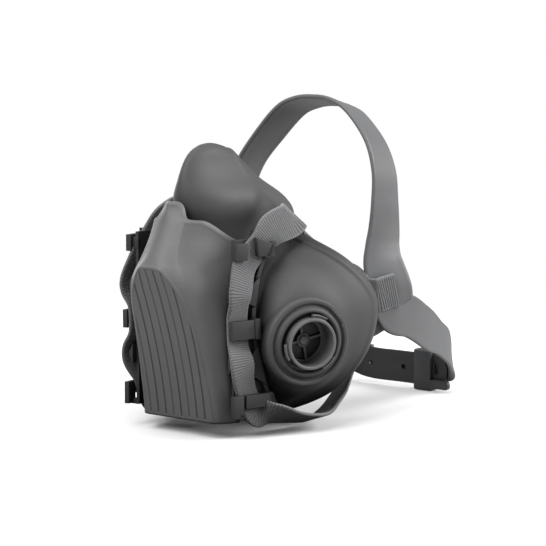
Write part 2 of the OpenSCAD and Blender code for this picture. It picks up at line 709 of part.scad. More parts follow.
// Head cradle: an arch over the crown whose ends widen at the patch and run down and back to the nape
// Y on the way from the patch (0) to the nape (1)
function backward(part) = patch[1] + (nape_y - patch[1]) * part;
half_band = [
    [[0, 105, crown_z], [0, 0.5, 0.87], band_w],
    [[10, 104.5, crown_z - 1], [0.2, 0.5, 0.85], band_w],
    [[20, 103.8, crown_z - 5], [0.45, 0.45, 0.77], band_w],
    [[32.3, 103, crown_z - 17], [0.78, 0.3, 0.55], band_w],
    [[40.8, 102.5, crown_z - 30], [0.93, 0.1, 0.33], band_w],
    [[44, 102, crown_z - 44], [0.99, 0, 0.1], band_w],
    [[43.6, 102, patch[2] + 28], [0.98, -0.15, 0.02], band_w],
    [[43.6, 101, patch[2] + 20], [0.95, -0.28, 0], band_w],
    [[45, 100, patch[2] + 12], [0.9, -0.42, 0], (band_w + pad_w) / 2],
    [patch, patch_out, pad_w],
    [[51, backward(0.054), patch[2] - 7.5], [0.95, -0.3, 0], pad_w],
    [[50.5, backward(0.163), patch[2] - 13], [0.99, -0.1, 0], (band_w + pad_w) / 2],
    [[49.5, backward(0.279), patch[2] - 17.5], [1, 0.05, 0], band_w],
    [[47, backward(0.434), patch[2] - 23], [0.97, 0.22, 0], band_w],
    [[43, backward(0.607), patch[2] - 28.5], [0.92, 0.4, 0], (band_w + tail_w) / 2],
    [[38, backward(0.781), patch[2] - 34.5], [0.85, 0.53, 0], (band_w + tail_w) / 2],
    [[32.5, backward(0.916), neck_z + 7.5], [0.7, 0.71, 0], tail_w],
    [[27.5, nape_y - 1, neck_z + 2], [0.3, 0.95, 0], tail_w],
    [[buckle_x + buckle_len / 2 + 1, nape_y, neck_z + 2], [0, 1, 0], tail_w]];
function mirrored(s) = [[-s[0][0], s[0][1], s[0][2]], [-s[1][0], s[1][1], s[1][2]], s[2]];
// The crown leans to one side, as the soft arch stands
function leaning(s) = [s[0] + [crown_lean * smooth(crown_z - 44, crown_z - 12, s[0][2]), 0, 0], s[1], s[2]];
band_route = [for (s = concat(
    [for (i = [len(half_band) - 1:-1:1]) mirrored(half_band[i])],
    half_band)) leaning(s)];

module head_cradle() color(soft_grey) strap(band_route, band_t, 3);

// Neck strap: lies inside the cradle's two ends and closes the loop round the nape
function inside(s) = [s[0] - ((band_t + neck_t) / 2 + tuck_gap) * unit(s[1]), s[1], neck_w];
neck_route = [
    [[neck_end_x, neck_y, neck_z], [0, 1, 0], neck_w],
    [[0, neck_y, neck_z], [0, 1, 0], neck_w],
    [[-neck_end_x, neck_y, neck_z], [0, 1, 0], neck_w],
    inside(mirrored(half_band[len(half_band) - 2])),
    inside(mirrored(half_band[len(half_band) - 3]))];

module neck_strap() color(dark) {
    difference() {
        union() {
            strap(neck_route, neck_t, 4);
            translate([neck_end_x, neck_y - neck_t / 2, neck_z]) rotate([-90, 0, 0])
                cylinder(r = neck_w / 2, h = neck_t);
        }
        for (i = [-1:0]) translate([hole_r + i * hole_pitch, neck_y - neck_t, neck_z]) rotate([-90, 0, 0])
            cylinder(r = hole_r, h = 2 * neck_t);
        translate([neck_end_x + 1, neck_y, neck_z + 1]) {
            cube([2 * hole_r, 2 * neck_t, slot_h - 2 * hole_r], center = true);
            for (k = [-1, 1]) translate([0, -neck_t, k * (slot_h / 2 - hole_r)]) rotate([-90, 0, 0])
                cylinder(r = hole_r, h = 2 * neck_t);
        }
    }
}

// Buckle: a sleeve round the neck strap, with a hook rail at its foot
module buckle() color(dark) {
    inner_h = neck_w + 2 * lie_gap;
    inner_d = neck_t + 2 * lie_gap;
    front = inner_d / 2 + buckle_wall;
    translate([buckle_x, neck_y, neck_z]) {
        difference() {
            cube([buckle_len, 2 * front, inner_h + 2 * buckle_wall], center = true);
            cube([buckle_len + 2, inner_d, inner_h], center = true);
        }
        translate([buckle_len / 2 - 0.5, -front, -neck_z]) cube([hook_len, buckle_wall, hook_h]);
        translate([buckle_len / 2 + hook_len - 0.5, -front, hook_h / 2 - neck_z]) rotate([-90, 0, 0])
            cylinder(r = hook_h / 2, h = buckle_wall);
    }
}

assembled() facepiece();
assembled() front_cover();
assembled() exhalation_seat();
assembled() exhalation_flap();
assembled() exhalation_stud();
assembled() inlet_connector(-1);  // inlet_connector_right
assembled() inlet_connector(1);  // inlet_connector_left
assembled() inlet_gasket(-1);  // inlet_gasket_right
assembled() inlet_gasket(1);  // inlet_gasket_left
assembled() inhalation_flap(-1);  // inhalation_flap_right
assembled() inhalation_flap(1);  // inhalation_flap_left
assembled() inhalation_stud(-1);  // inhalation_stud_right
assembled() inhalation_stud(1);  // inhalation_stud_left
assembled() strap_frame(-1);  // strap_frame_right
assembled() strap_frame(1);  // strap_frame_left
assembled() frame_pins(-1);  // frame_pins_right
assembled() frame_pins(1);  // frame_pins_left
assembled() webbing(-1);  // webbing_right
assembled() webbing(1);  // webbing_left
assembled() head_cradle();
assembled() neck_strap();
assembled() buckle();
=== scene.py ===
"""Looks of the half-face respirator: rubber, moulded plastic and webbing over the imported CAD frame."""

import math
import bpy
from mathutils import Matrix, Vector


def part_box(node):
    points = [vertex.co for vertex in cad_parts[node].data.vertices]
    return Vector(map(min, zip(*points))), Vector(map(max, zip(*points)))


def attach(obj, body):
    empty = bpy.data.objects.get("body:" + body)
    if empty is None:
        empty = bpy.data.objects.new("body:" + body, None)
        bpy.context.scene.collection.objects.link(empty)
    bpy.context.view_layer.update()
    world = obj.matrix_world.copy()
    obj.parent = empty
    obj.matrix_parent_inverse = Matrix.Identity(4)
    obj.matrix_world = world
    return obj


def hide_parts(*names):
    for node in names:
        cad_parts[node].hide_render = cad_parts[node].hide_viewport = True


bl_info = {
    "name": "Half-face respirator",
    "version": (1, 0, 0),
    "blender": (4, 5, 0),
    "location": "3D View > Sidebar > Respirator",
    "description": "Dresses the packed respirator frame with rubber, moulded plastic and webbing",
    "category": "Object",
}

import bmesh
import bpy
import numpy as np
from mathutils import Vector

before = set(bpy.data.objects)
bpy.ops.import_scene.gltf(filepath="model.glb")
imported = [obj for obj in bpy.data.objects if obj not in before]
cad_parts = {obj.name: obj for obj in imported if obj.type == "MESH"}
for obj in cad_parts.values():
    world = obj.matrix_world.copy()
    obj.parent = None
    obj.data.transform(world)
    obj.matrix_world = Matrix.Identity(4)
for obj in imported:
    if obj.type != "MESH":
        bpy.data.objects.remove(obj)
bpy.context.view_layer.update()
MM = 0.001
SIDES = (("left", 1), ("right", -1))

# Drawing frame in millimetres: X to the wearer's left, Y back from the cover, Z up
PANEL_FOOT_Y = 5.0
PANEL_LEAN = 14.0
Y_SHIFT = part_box("front_cover")[0][1] / MM + PANEL_LEAN - PANEL_FOOT_Y
ACROSS = np.array([1.0, 0.0, 0.0])
BACK = np.array([0.0, 1.0, 0.0])
UP = np.array([0.0, 0.0, 1.0])

# Facepiece shell: reach from a hub in every direction, blended from ellipsoids of (centre, half sizes)
HUB = np.array([0.0, 62.0, 58.0])
BLEND = 12
CUP = ((0, 72, 55), (59, 46, 50.5))
MOUTH = ((0, 52, 52), (33, 44, 47.7))
BRIDGE = ((0, 62, 64), (40, 36, 52))
CHIN = ((0, 44, 32.5), (34, 42, 28.5))
FRONT_REACH = 51
FRONT_EDGE = 12
NOSE_TILT = math.radians(57)
NOSE_AXIS = np.array([0.0, -math.cos(NOSE_TILT), math.sin(NOSE_TILT)])
NOSE_AHEAD = 31
NOSE_HALF = (14, 52.3, 27.5)
LOBE_DEPTH = 33
LOBE_HALF = (46, 24, 33)
LOBE_EDGE = 14
WALL = 2.6
SKIN_GAP = 0.25
AROUND, ROWS, SEAL_ROWS = 288, 92, 18

# Rim of the shell: turn from straight ahead in degrees, and how far it is drawn in beside the nose
RIM_TOP = 75.0
RIM_SIDE = 104.0
RIM_CHIN = 95.0
WAIST, WAIST_AT, WAIST_WIDE = 7, 42, 21
SEAL_TURN = 15.0
SEAL_DRAW = 0.17
FLANGE = 2.6
LIP = 0.7

# Inlet ports, and the cheek round each: half sizes ahead of, behind and above its middle
PORT = np.array([48.5, 40.0, 43.0])
PORT_AXIS = np.array([0.9113, -0.4057, -0.0698])
COLLAR_R = 20.6
CHEEK_AHEAD, CHEEK_BEHIND, CHEEK_HIGH, CHEEK_RISE = 21.5, 34, 31, 8

# Outlet behind the cover
OUTLET = np.array([0.0, 10.0, 46.0])
OUTLET_R = 16.6

# Front cover
COVER_HALF = 26.5
COVER_LOW = 7.0
COVER_TIP = 106.3
COVER_EDGE = 87.0
PANEL_TOP = 78.0
PANEL_HALF = 20.8
ARCH_FROM = 45
CREST_HALF = 3.5
GROOVE_HALF = 0.4

# Strap frames: place, and the directions out from the plate and back along it
FRAME_AT = np.array([27.0, 4.5, 0.0])
FRAME_TURN = math.radians(10)
FRAME_OUT = np.array([math.cos(FRAME_TURN), -math.sin(FRAME_TURN), 0.0])
FRAME_BACK = np.array([math.sin(FRAME_TURN), math.cos(FRAME_TURN), 0.0])
FRAME_LOW = 10.0
FRAME_TOP = 90.0
PLATE_Y = 3.5
PLATE_T = 1.6
RAIL_T = 1.6
RAIL_BACK = 16.5
RAIL_MID = 57
LOOP_IN = 3.6
LOOP_OUT = LOOP_IN + 2.4
PIN_BACK = 12.5
PIN_HEIGHTS = (58.2, 24.5)

# Webbing on the frame: heights of its middle over the plate, flat and over a ridge, and its middle line
LACE = 2.6
BULGE = 4.65
WEB_MID = 8.25

# Harness
PATCH = np.array([49.0, 100.3, 60.5])
PATCH_OUT = np.array([0.885, -0.465, 0.0])
PATCH_BACK = np.array([0.455, 0.867, 0.2])
BAND_W, PAD_W, TAIL_W, NECK_W = 19.5, 22.0, 14.0, 16.0
NECK_AT = np.array([0.0, 175.3, 10.25])
NAPE_Y = 178.0
CROWN_LEAN = 5.2

# Stage: place and aim in metres, angles in degrees from the front, power in watts
AIM = Vector((0.0214, -0.0371, 0.0714))
CAMERA_TURN, CAMERA_RISE, CAMERA_FAR, CAMERA_LENS = 40, 7, 1.09, 157.39
SOFTBOXES = (
    # name, turn, rise, distance, size, power
    ("front_softbox", 0, 40, 1.25, 0.8, 16),
    ("left_softbox", -112, 16, 1.25, 0.8, 7),
    ("right_softbox", 128, 26, 1.15, 0.7, 18),
    ("overhead_softbox", 0, 80, 1.1, 1.0, 8))


class RespiratorSizes(bpy.types.PropertyGroup):
    """Sizes of the fine forms that the looks add"""

    groove_pitch: bpy.props.FloatProperty(
        name="Groove pitch", description="Spacing of the panel's grooves at its foot",
        default=4.7 * MM, unit="LENGTH")
    groove_depth: bpy.props.FloatProperty(
        name="Groove depth", description="Depth of the panel's grooves",
        default=0.6 * MM, unit="LENGTH")
    cover_thickness: bpy.props.FloatProperty(
        name="Cover thickness", description="Wall of the front cover",
        default=2.0 * MM, unit="LENGTH")
    rib_pitch: bpy.props.FloatProperty(
        name="Rib pitch", description="Spacing of the webbing's cross ribs",
        default=1.05 * MM, unit="LENGTH")
    rib_height: bpy.props.FloatProperty(
        name="Rib height", description="Height of the webbing's cross ribs",
        default=0.16 * MM, unit="LENGTH")
    web_thickness: bpy.props.FloatProperty(
        name="Webbing thickness", description="Thickness of the webbing",
        default=1.5 * MM, unit="LENGTH")
    band_thickness: bpy.props.FloatProperty(
        name="Cradle thickness", description="Thickness of the head cradle",
        default=2.0 * MM, unit="LENGTH")
    neck_thickness: bpy.props.FloatProperty(
        name="Neck strap thickness", description="Thickness of the neck strap",
        default=1.8 * MM, unit="LENGTH")


class RespiratorColours(bpy.types.PropertyGroup):
    """Colours of the finishes"""

    rubber: bpy.props.FloatVectorProperty(
        name="Facepiece", description="Moulded grey rubber",
        default=(0.062, 0.062, 0.064), subtype="COLOR")
    cover: bpy.props.FloatVectorProperty(
        name="Cover", description="Moulded grey plastic",
        default=(0.11, 0.11, 0.112), subtype="COLOR")
    frames: bpy.props.FloatVectorProperty(
        name="Strap frames", description="Moulded grey plastic",
        default=(0.036, 0.0365, 0.038), subtype="COLOR")
    inlets: bpy.props.FloatVectorProperty(
        name="Inlets", description="Satin grey plastic",
        default=(0.11, 0.11, 0.112), subtype="COLOR")
    webbing: bpy.props.FloatVectorProperty(
        name="Webbing", description="Light grey woven elastic",
        default=(0.108, 0.109, 0.112), subtype="COLOR")
    cradle: bpy.props.FloatVectorProperty(
        name="Head cradle", description="Soft grey rubber",
        default=(0.104, 0.105, 0.108), subtype="COLOR")
    neck: bpy.props.FloatVectorProperty(
        name="Neck strap", description="Dark rubber",
        default=(0.032, 0.032, 0.034), subtype="COLOR")
    buckle: bpy.props.FloatVectorProperty(
        name="Buckle", description="Dark plastic",
        default=(0.05, 0.051, 0.053), subtype="COLOR")
    valve: bpy.props.FloatVectorProperty(
        name="Valves", description="Dark valve rubber",
        default=(0.022, 0.022, 0.023), subtype="COLOR")


def sizes():
    return bpy.context.scene.respirator_sizes


def colours():
    return bpy.context.scene.respirator_colours


def unit(v):
    v = np.asarray(v, float)
    return v / np.linalg.norm(v, axis=-1, keepdims=True)


def smooth(a, b, x):
    t = np.clip((np.asarray(x, float) - a) / (b - a), 0, 1)
    return t * t * (3 - 2 * t)


def mirrored(points, side):
    """Points or directions of the wearer's left, taken to the right where side is -1."""
    return np.asarray(points, float) * [side, 1, 1]


def placed(points, side=1):
    """Drawing millimetres to rows of metres in the frame's own place."""
    return (mirrored(np.asarray(points, float).reshape(-1, 3), side) + Y_SHIFT * BACK) * MM


def as_object(mesh, sharp, weld=0.0):
    """Object of a mesh with its faces turned outwards and its corners sharp above an angle in degrees."""
    bm = bmesh.new()
    bm.from_mesh(mesh)
    if weld:
        bmesh.ops.remove_doubles(bm, verts=bm.verts, dist=weld)
    bmesh.ops.recalc_face_normals(bm, faces=bm.faces)
    bm.to_mesh(mesh)
    bm.free()
    mesh.shade_smooth()
    mesh.set_sharp_from_angle(angle=math.radians(sharp))
    obj = bpy.data.objects.new(mesh.name, mesh)
    bpy.context.scene.collection.objects.link(obj)
    return obj


def new_piece(name, points, faces, side=1, sharp=38):
    mesh = bpy.data.meshes.new(name)
    mesh.from_pydata(placed(points, side).tolist(), [], faces)
    return as_object(mesh, sharp, weld=1e-6)


def grid_faces(rows, cols, start=0, wrap=False):
    """Quads of a rows by cols grid of points; wrap joins the last column to the first."""
    faces = []
    for i in range(rows - 1):
        for j in range(cols if wrap else cols - 1):
            k = (j + 1) % cols
            faces.append((start + i * cols + j, start + i * cols + k,
                          start + (i + 1) * cols + k, start + (i + 1) * cols + j))
    return faces


def closed_rows(points, ring=False):
    """Points and faces of rows of closed outlines: the rows joined in a ring, or the end rows filled."""
    rows, cols = points.shape[:2]
    last = (rows - 1) * cols
    faces = grid_faces(rows, cols, 0, True)
    if ring:
        faces += [(last + j, last + (j + 1) % cols, (j + 1) % cols, j) for j in range(cols)]
    else:
        faces += [tuple(range(cols)), tuple(range(last, last + cols))]
    return points.reshape(-1, 3), faces


def soften(outline, radius, steps=4):
    """Closed outline with each corner rounded off over about one radius."""
    p = np.asarray(outline, float)
    result = []
    for i in range(len(p)):
        before = p[i - 1] - p[i]
        after = p[(i + 1) % len(p)] - p[i]
        a = np.linalg.norm(before)
        b = np.linalg.norm(after)
        cut = min(radius, a * 0.45, b * 0.45)
        start = p[i] + before / a * cut
        end = p[i] + after / b * cut
        for t in np.arange(steps + 1) / steps:
            result.append((1 - t) ** 2 * start + 2 * t * (1 - t) * p[i] + t * t * end)
    return np.array(result)


def oblong(left, low, right, high):
    return [(left, low), (right, low), (right, high), (left, high)]


def axes_along(axis):
    """Right, up and forward axes of a round piece; up leans as far to +Z as it can."""
    n = unit(axis)
    right = unit(np.cross(UP, n))
    return right, np.cross(n, right), n


def lathe(profile, origin, axis, start=0.0, sweep=360.0, steps=96):
    """Points and faces of a closed profile of (radius, height) pairs turned round an axis."""
    right, up, out = axes_along(axis)
    whole = sweep >= 360
    turns = np.radians(start + sweep * np.arange(steps if whole else steps + 1) / steps)
    prof = np.asarray(profile, float)
    ring = np.cos(turns)[:, None] * right + np.sin(turns)[:, None] * up
    points = np.asarray(origin) + prof[None, :, 0, None] * ring[:, None, :] + prof[None, :, 1, None] * out
    return closed_rows(points, whole)


def prism(outline, low, high, origin, u, v, w):
    """Closed prism: outline in (u, v), from low to high along w."""
    p = np.asarray(outline, float)
    base = np.asarray(origin) + p[:, :1] * u + p[:, 1:] * v
    return closed_rows(np.stack([base + low * w, base + high * w]))


def gathered(parts):
    """One list of points and faces from several."""
    points = []
    faces = []
    total = 0
    for p, f in parts:
        points.append(np.asarray(p, float).reshape(-1, 3))
        faces += [tuple(total + i for i in face) for face in f]
        total += len(points[-1])
    return np.concatenate(points), faces


def settled(obj, sharp):
    """Writes the modifiers' result into the mesh."""
    bpy.context.view_layer.update()
    seen = obj.evaluated_get(bpy.context.evaluated_depsgraph_get())
    mesh = bpy.data.meshes.new_from_object(seen)
    old = obj.data
    obj.modifiers.clear()
    obj.data = mesh
    mesh.name = obj.name
    bpy.data.meshes.remove(old)
    mesh.shade_smooth()
    mesh.set_sharp_from_angle(angle=math.radians(sharp))


def rounded_edges(obj, width, sharp):
    mod = obj.modifiers.new("Rounded edges", "BEVEL")
    mod.width = width * MM
    mod.segments = 3
    mod.limit_method = "ANGLE"
    mod.angle_limit = math.radians(30)
    mod.use_clamp_overlap = True
    settled(obj, sharp)


def combined(obj, others, operation, sharp=38):
    """Cuts the others out of obj or joins them to it, and removes them."""
    for other in others:
        mod = obj.modifiers.new("Combine", "BOOLEAN")
        mod.object = other
        mod.operation = operation
        mod.solver = "EXACT"
    settled(obj, sharp)
    for other in others:
        bpy.data.objects.remove(other)


def dressed(obj, material, body, node):
    """Gives a new piece its finish and its body, and hides the CAD part that it stands for."""
    obj.data.materials.clear()
    obj.data.materials.append(material)
    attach(obj, body)
    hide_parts(node)


def feed(tree, value, socket):
    """Links an output to a socket, or sets the socket to a number or a colour."""
    if isinstance(value, bpy.types.NodeSocket):
        tree.links.new(value, socket)
    elif isinstance(value, tuple):
        socket.default_value = (*value, 1.0)
    else:
        socket.default_value = value


def fill(tree, node, values):
    """Links or sets several of a node's inputs by name."""
    for label, value in values.items():
        feed(tree, value, node.inputs[label])


def math_node(tree, operation, *values):
    node = tree.nodes.new("ShaderNodeMath")
    node.operation = operation
    for value, socket in zip(values, node.inputs):
        feed(tree, value, socket)
    return node.outputs[0]


def times(tree, a, b):
    return math_node(tree, "MULTIPLY", a, b)


def wave(tree, turn):
    """Row of equal round humps along an angle."""
    return math_node(tree, "ABSOLUTE", math_node(tree, "SINE", turn))


def noise_node(tree, vector, scale, detail=2.0, rough=0.5):
    node = tree.nodes.new("ShaderNodeTexNoise")
    fill(tree, node, {"Vector": vector, "Scale": scale, "Detail": detail, "Roughness": rough})
    return node.outputs["Fac"]


def band_node(tree, value, low, high):
    """Value spread from low..high to 0..1, smoothly."""
    node = tree.nodes.new("ShaderNodeMapRange")
    node.interpolation_type = "SMOOTHSTEP"
    fill(tree, node, {"Value": value, "From Min": low, "From Max": high})
    return node.outputs["Result"]


def mixed(tree, mask, first, second):
    """Colour mix of two colours or sockets by a mask."""
    node = tree.nodes.new("ShaderNodeMix")
    node.data_type = "RGBA"
    for value, socket in ((mask, 0), (first, 6), (second, 7)):
        feed(tree, value, node.inputs[socket])
    return node.outputs[2]


def shade(colour, factor):
    return tuple(min(1.0, c * factor) for c in colour)


def new_group(name, inputs, outputs):
    """Empty shader node group with number sockets, and its input and output nodes."""
    group = bpy.data.node_groups.new(name, "ShaderNodeTree")
    for label, value in inputs:
        socket = group.interface.new_socket(label, in_out="INPUT", socket_type="NodeSocketFloat")
        socket.default_value = value
    for label in outputs:
        group.interface.new_socket(label, in_out="OUTPUT", socket_type="NodeSocketFloat")
    return group, group.nodes.new("NodeGroupInput"), group.nodes.new("NodeGroupOutput")


def placed_group(tree, group, **values):
    node = tree.nodes.new("ShaderNodeGroup")
    node.node_tree = group
    for label, value in values.items():
        node.inputs[label.replace("_", " ")].default_value = value
    return node


def moulded_grain():
    """Group: the fine spark-eroded grain of a mould and the slow cloudiness of its surface."""
    if "Moulded grain" in bpy.data.node_groups:
        return bpy.data.node_groups["Moulded grain"]
    group, source, sink = new_group(
        "Moulded grain", (("Grain scale", 2600.0), ("Cloud scale", 45.0)), ("Grain", "Cloud", "Speck"))
    place = group.nodes.new("ShaderNodeTexCoord").outputs["Object"]
    fine = noise_node(group, place, source.outputs["Grain scale"], 3.0, 0.6)
    cells = group.nodes.new("ShaderNodeTexVoronoi")
    fill(group, cells, {"Vector": place, "Scale": source.outputs["Grain scale"]})
    pits = times(group, cells.outputs["Distance"], 0.35)
    feed(group, math_node(group, "ADD", times(group, fine, 0.65), pits), sink.inputs["Grain"])
    feed(group, noise_node(group, place, source.outputs["Cloud scale"], 4.0, 0.55), sink.inputs["Cloud"])
    feed(group, band_node(group, noise_node(group, place, 900.0, 1.0), 0.68, 0.8), sink.inputs["Speck"])
    return group


def edge_wear_and_painted_shade():
    """Group: masks of the edges, lightened partly as handling wear and partly as painted highlight, of the
    inner creases that get painted shade, and of open places, outside which painted shade falls.
    """
    if "Edge wear and painted shade" in bpy.data.node_groups:
        return bpy.data.node_groups["Edge wear and painted shade"]
    group, source, sink = new_group("Edge wear and painted shade", (("Break-up scale", 220.0),), ("Edge wear and highlight", "Crease shade", "Clear of painted shade"))
    bend = group.nodes.new("ShaderNodeNewGeometry").outputs["Pointiness"]
    place = group.nodes.new("ShaderNodeTexCoord").outputs["Object"]
    broken = band_node(group, noise_node(group, place, source.outputs["Break-up scale"], 3.0), 0.25, 0.7)
    # Edges: partly handling wear, partly a painted highlight on convex edges.
    feed(group, times(group, band_node(group, bend, 0.515, 0.62), broken), sink.inputs["Edge wear and highlight"])
    # Creases: painted shade in concave folds.
    feed(group, band_node(group, bend, 0.49, 0.38), sink.inputs["Crease shade"])
    # Ambient occlusion for painted shade in sheltered places; the mask is 1 in open places.
    painted_shade = group.nodes.new("ShaderNodeAmbientOcclusion")
    painted_shade.samples = 8
    painted_shade.inputs["Distance"].default_value = 14 * MM
    feed(group, band_node(group, painted_shade.outputs["AO"], 0.2, 0.95), sink.inputs["Clear of painted shade"])
    return group


def new_material(name):
    material = bpy.data.materials.new(name)
    material.use_nodes = True
    return material, material.node_tree, material.node_tree.nodes["Principled BSDF"]


def bumped(tree, bsdf, height, strength, distance):
    bump = tree.nodes.new("ShaderNodeBump")
    fill(tree, bump, {"Strength": strength, "Distance": distance * MM, "Height": height})
    feed(tree, bump.outputs["Normal"], bsdf.inputs["Normal"])


def moulded(name, colour, rough, grain=0.06, grain_scale=2600.0, specular=0.5, sheen=0.0, edge=1.35,
            painted_shade=False):
    """Material of moulded rubber or plastic: grain, slow cloudiness, edges lightened partly as wear and
    partly as painted highlight, painted shade in creases and in sheltered places.
    """
    material, tree, bsdf = new_material(name)
    surface = placed_group(tree, moulded_grain(), Grain_scale=grain_scale).outputs
    wear_and_shade = placed_group(tree, edge_wear_and_painted_shade()).outputs
    base = mixed(tree, surface["Cloud"], shade(colour, 0.88), shade(colour, 1.12))
    # Edge wear and painted highlight, lightened by the edge factor.
    base = mixed(tree, wear_and_shade["Edge wear and highlight"], base, shade(colour, edge))
    # Painted shade in creases.
    base = mixed(tree, times(tree, wear_and_shade["Crease shade"], 0.6), base, shade(colour, 0.45))
    base = mixed(tree, times(tree, surface["Speck"], 0.12), base, shade(colour, 1.9))
    # Painted shade in places that nearby surfaces shelter.
    base = mixed(tree, wear_and_shade["Clear of painted shade"], shade(colour, 0.4), base)
    # Painted shade written on the mesh behind the strap frames and round the cheeks.
    if painted_shade:
        painted_shade_attribute = tree.nodes.new("ShaderNodeAttribute")
        painted_shade_attribute.attribute_name = "painted_shade"
        base = mixed(tree, painted_shade_attribute.outputs["Fac"], base, shade(colour, 0.16))
    feed(tree, base, bsdf.inputs["Base Color"])
    gloss = tree.nodes.new("ShaderNodeMapRange")
    fill(tree, gloss, {"Value": surface["Cloud"], "To Min": rough - 0.06, "To Max": rough + 0.08})
    feed(tree, gloss.outputs["Result"], bsdf.inputs["Roughness"])
    bumped(tree, bsdf, surface["Grain"], 0.55, grain)
    fill(tree, bsdf, {"Specular IOR Level": specular, "Sheen Weight": sheen, "Sheen Roughness": 0.5})
    return material


def woven(name, colour, pitch):
    """Material of the ribbed webbing: bead rows across, painted highlight along the selvedges, stray fibres
    and painted shade in sheltered places.
    """
    bead_pitch = 1.1
    selvedge = (6.6, 7.4)
    material, tree, bsdf = new_material(name)
    surface = placed_group(tree, moulded_grain(), Grain_scale=3800.0, Cloud_scale=70.0).outputs
    uv = tree.nodes.new("ShaderNodeUVMap")
    uv.uv_map = "strap"
    split = tree.nodes.new("ShaderNodeSeparateXYZ")
    feed(tree, uv.outputs["UV"], split.inputs[0])
    across = split.outputs["X"]
    row = times(tree, split.outputs["Y"], 1 / pitch)
    rib = wave(tree, times(tree, row, math.pi))
    odd = times(tree, math_node(tree, "FLOOR", row), math.pi / 2)
    bead = wave(tree, math_node(tree, "ADD", times(tree, across, math.pi / (bead_pitch * MM)), odd))
    knit = times(tree, rib, math_node(tree, "ADD", times(tree, bead, 0.5), 0.5))
    # Painted highlight: the webbing is lightened along its selvedges, where the edges catch the light.
    edge = band_node(tree, math_node(tree, "ABSOLUTE", across), selvedge[0] * MM, selvedge[1] * MM)
    base = mixed(tree, band_node(tree, knit, 0.05, 0.75), shade(colour, 0.5), shade(colour, 1.22))
    base = mixed(tree, times(tree, surface["Cloud"], 0.35), base, shade(colour, 0.82))
    # Painted highlight along the selvedges.
    base = mixed(tree, times(tree, edge, 0.75), base, shade(colour, 1.55))
    base = mixed(tree, times(tree, surface["Speck"], 0.25), base, shade(colour, 1.8))
    # Painted shade in places that nearby surfaces shelter.
    base = mixed(tree, placed_group(tree, edge_wear_and_painted_shade()).outputs["Clear of painted shade"], shade(colour, 0.65), base)
    feed(tree, base, bsdf.inputs["Base Color"])
    bumped(tree, bsdf, math_node(tree, "ADD", knit, times(tree, surface["Grain"], 0.5)), 0.8, 0.22)
    fill(tree, bsdf, {
        "Roughness": 0.88, "Specular IOR Level": 0.25, "Sheen Weight": 0.25, "Sheen Roughness": 0.6})
    return material


def leaves(d, centre, axes, half):
    """How far each direction runs from the hub until it leaves an ellipsoid."""
    axes = np.asarray(axes, float)
    o = axes @ (HUB - np.asarray(centre, float)) / half
    v = d @ axes.T / half
    a = (v * v).sum(-1)
    b = v @ o
    c = o @ o - 1
    s = b * b - a * c
    return np.where(s > 0, np.maximum(0.1, (np.sqrt(np.maximum(s, 0)) - b) / a), 0.1)


def held(r, d, normal, height, power):
    """Reach kept behind a plane, with a rounded edge."""
    return (r ** -power + (np.maximum(0, d @ normal) / height) ** power) ** (-1 / power)


def lobe(d, side):
    n = mirrored(PORT_AXIS, side)
    p = mirrored(PORT, side)
    across = unit([-n[1], n[0], 0])
    r = leaves(d, p - LOBE_DEPTH * n, [n, across, np.cross(n, across)], LOBE_HALF)
    return held(r, d, n, (p - HUB) @ n, LOBE_EDGE)


def shell_reach(d):
    """Reach of the shell from the hub in each direction."""
    world = np.eye(3)
    nose_up = [0, math.sin(NOSE_TILT), math.cos(NOSE_TILT)]
    mouth, chin = (held(leaves(d, centre, world, half), d, -BACK, FRONT_REACH, FRONT_EDGE)
                   for centre, half in (MOUTH, CHIN))
    nose = leaves(d, HUB + NOSE_AHEAD * NOSE_AXIS, [ACROSS, NOSE_AXIS, nose_up], NOSE_HALF)
    cup, bridge = (leaves(d, centre, world, half) for centre, half in (CUP, BRIDGE))
    forms = (cup, mouth, nose, bridge, lobe(d, 1), lobe(d, -1), chin)
    return sum(r ** BLEND for r in forms) ** (1 / BLEND)


def cheek_ring(points, side):
    """Place of points round a cheek: 1 on its shoulder, distance back along it and out from the port."""
    right, up, out = axes_along(PORT_AXIS)
    rel = mirrored(points, side) - PORT
    u, v, w = rel @ right, rel @ up, rel @ out
    long = np.where(u < 0, CHEEK_AHEAD, CHEEK_BEHIND)
    return np.hypot(u / long, (v - CHEEK_RISE) / CHEEK_HIGH), u, w


def cheek_relief(points):
    """Height added to the shell: a rounded shoulder round each port's cheek and a valley before it."""
    total = 0
    for _, side in SIDES:
        ring, u, w = cheek_ring(points, side)
        ahead = (1 - smooth(4, 26, u)) * smooth(-60, -40, w)
        shoulder = 0.5 * np.exp(-((ring - 0.92) / 0.1) ** 2)
        deep = 6.5 - 3.5 * smooth(-18, 0, u)
        valley = deep * smooth(0.95, 1.25, ring) * (1 - smooth(1.4, 2.1, ring))
        total = total + (shoulder - valley) * ahead
    return total


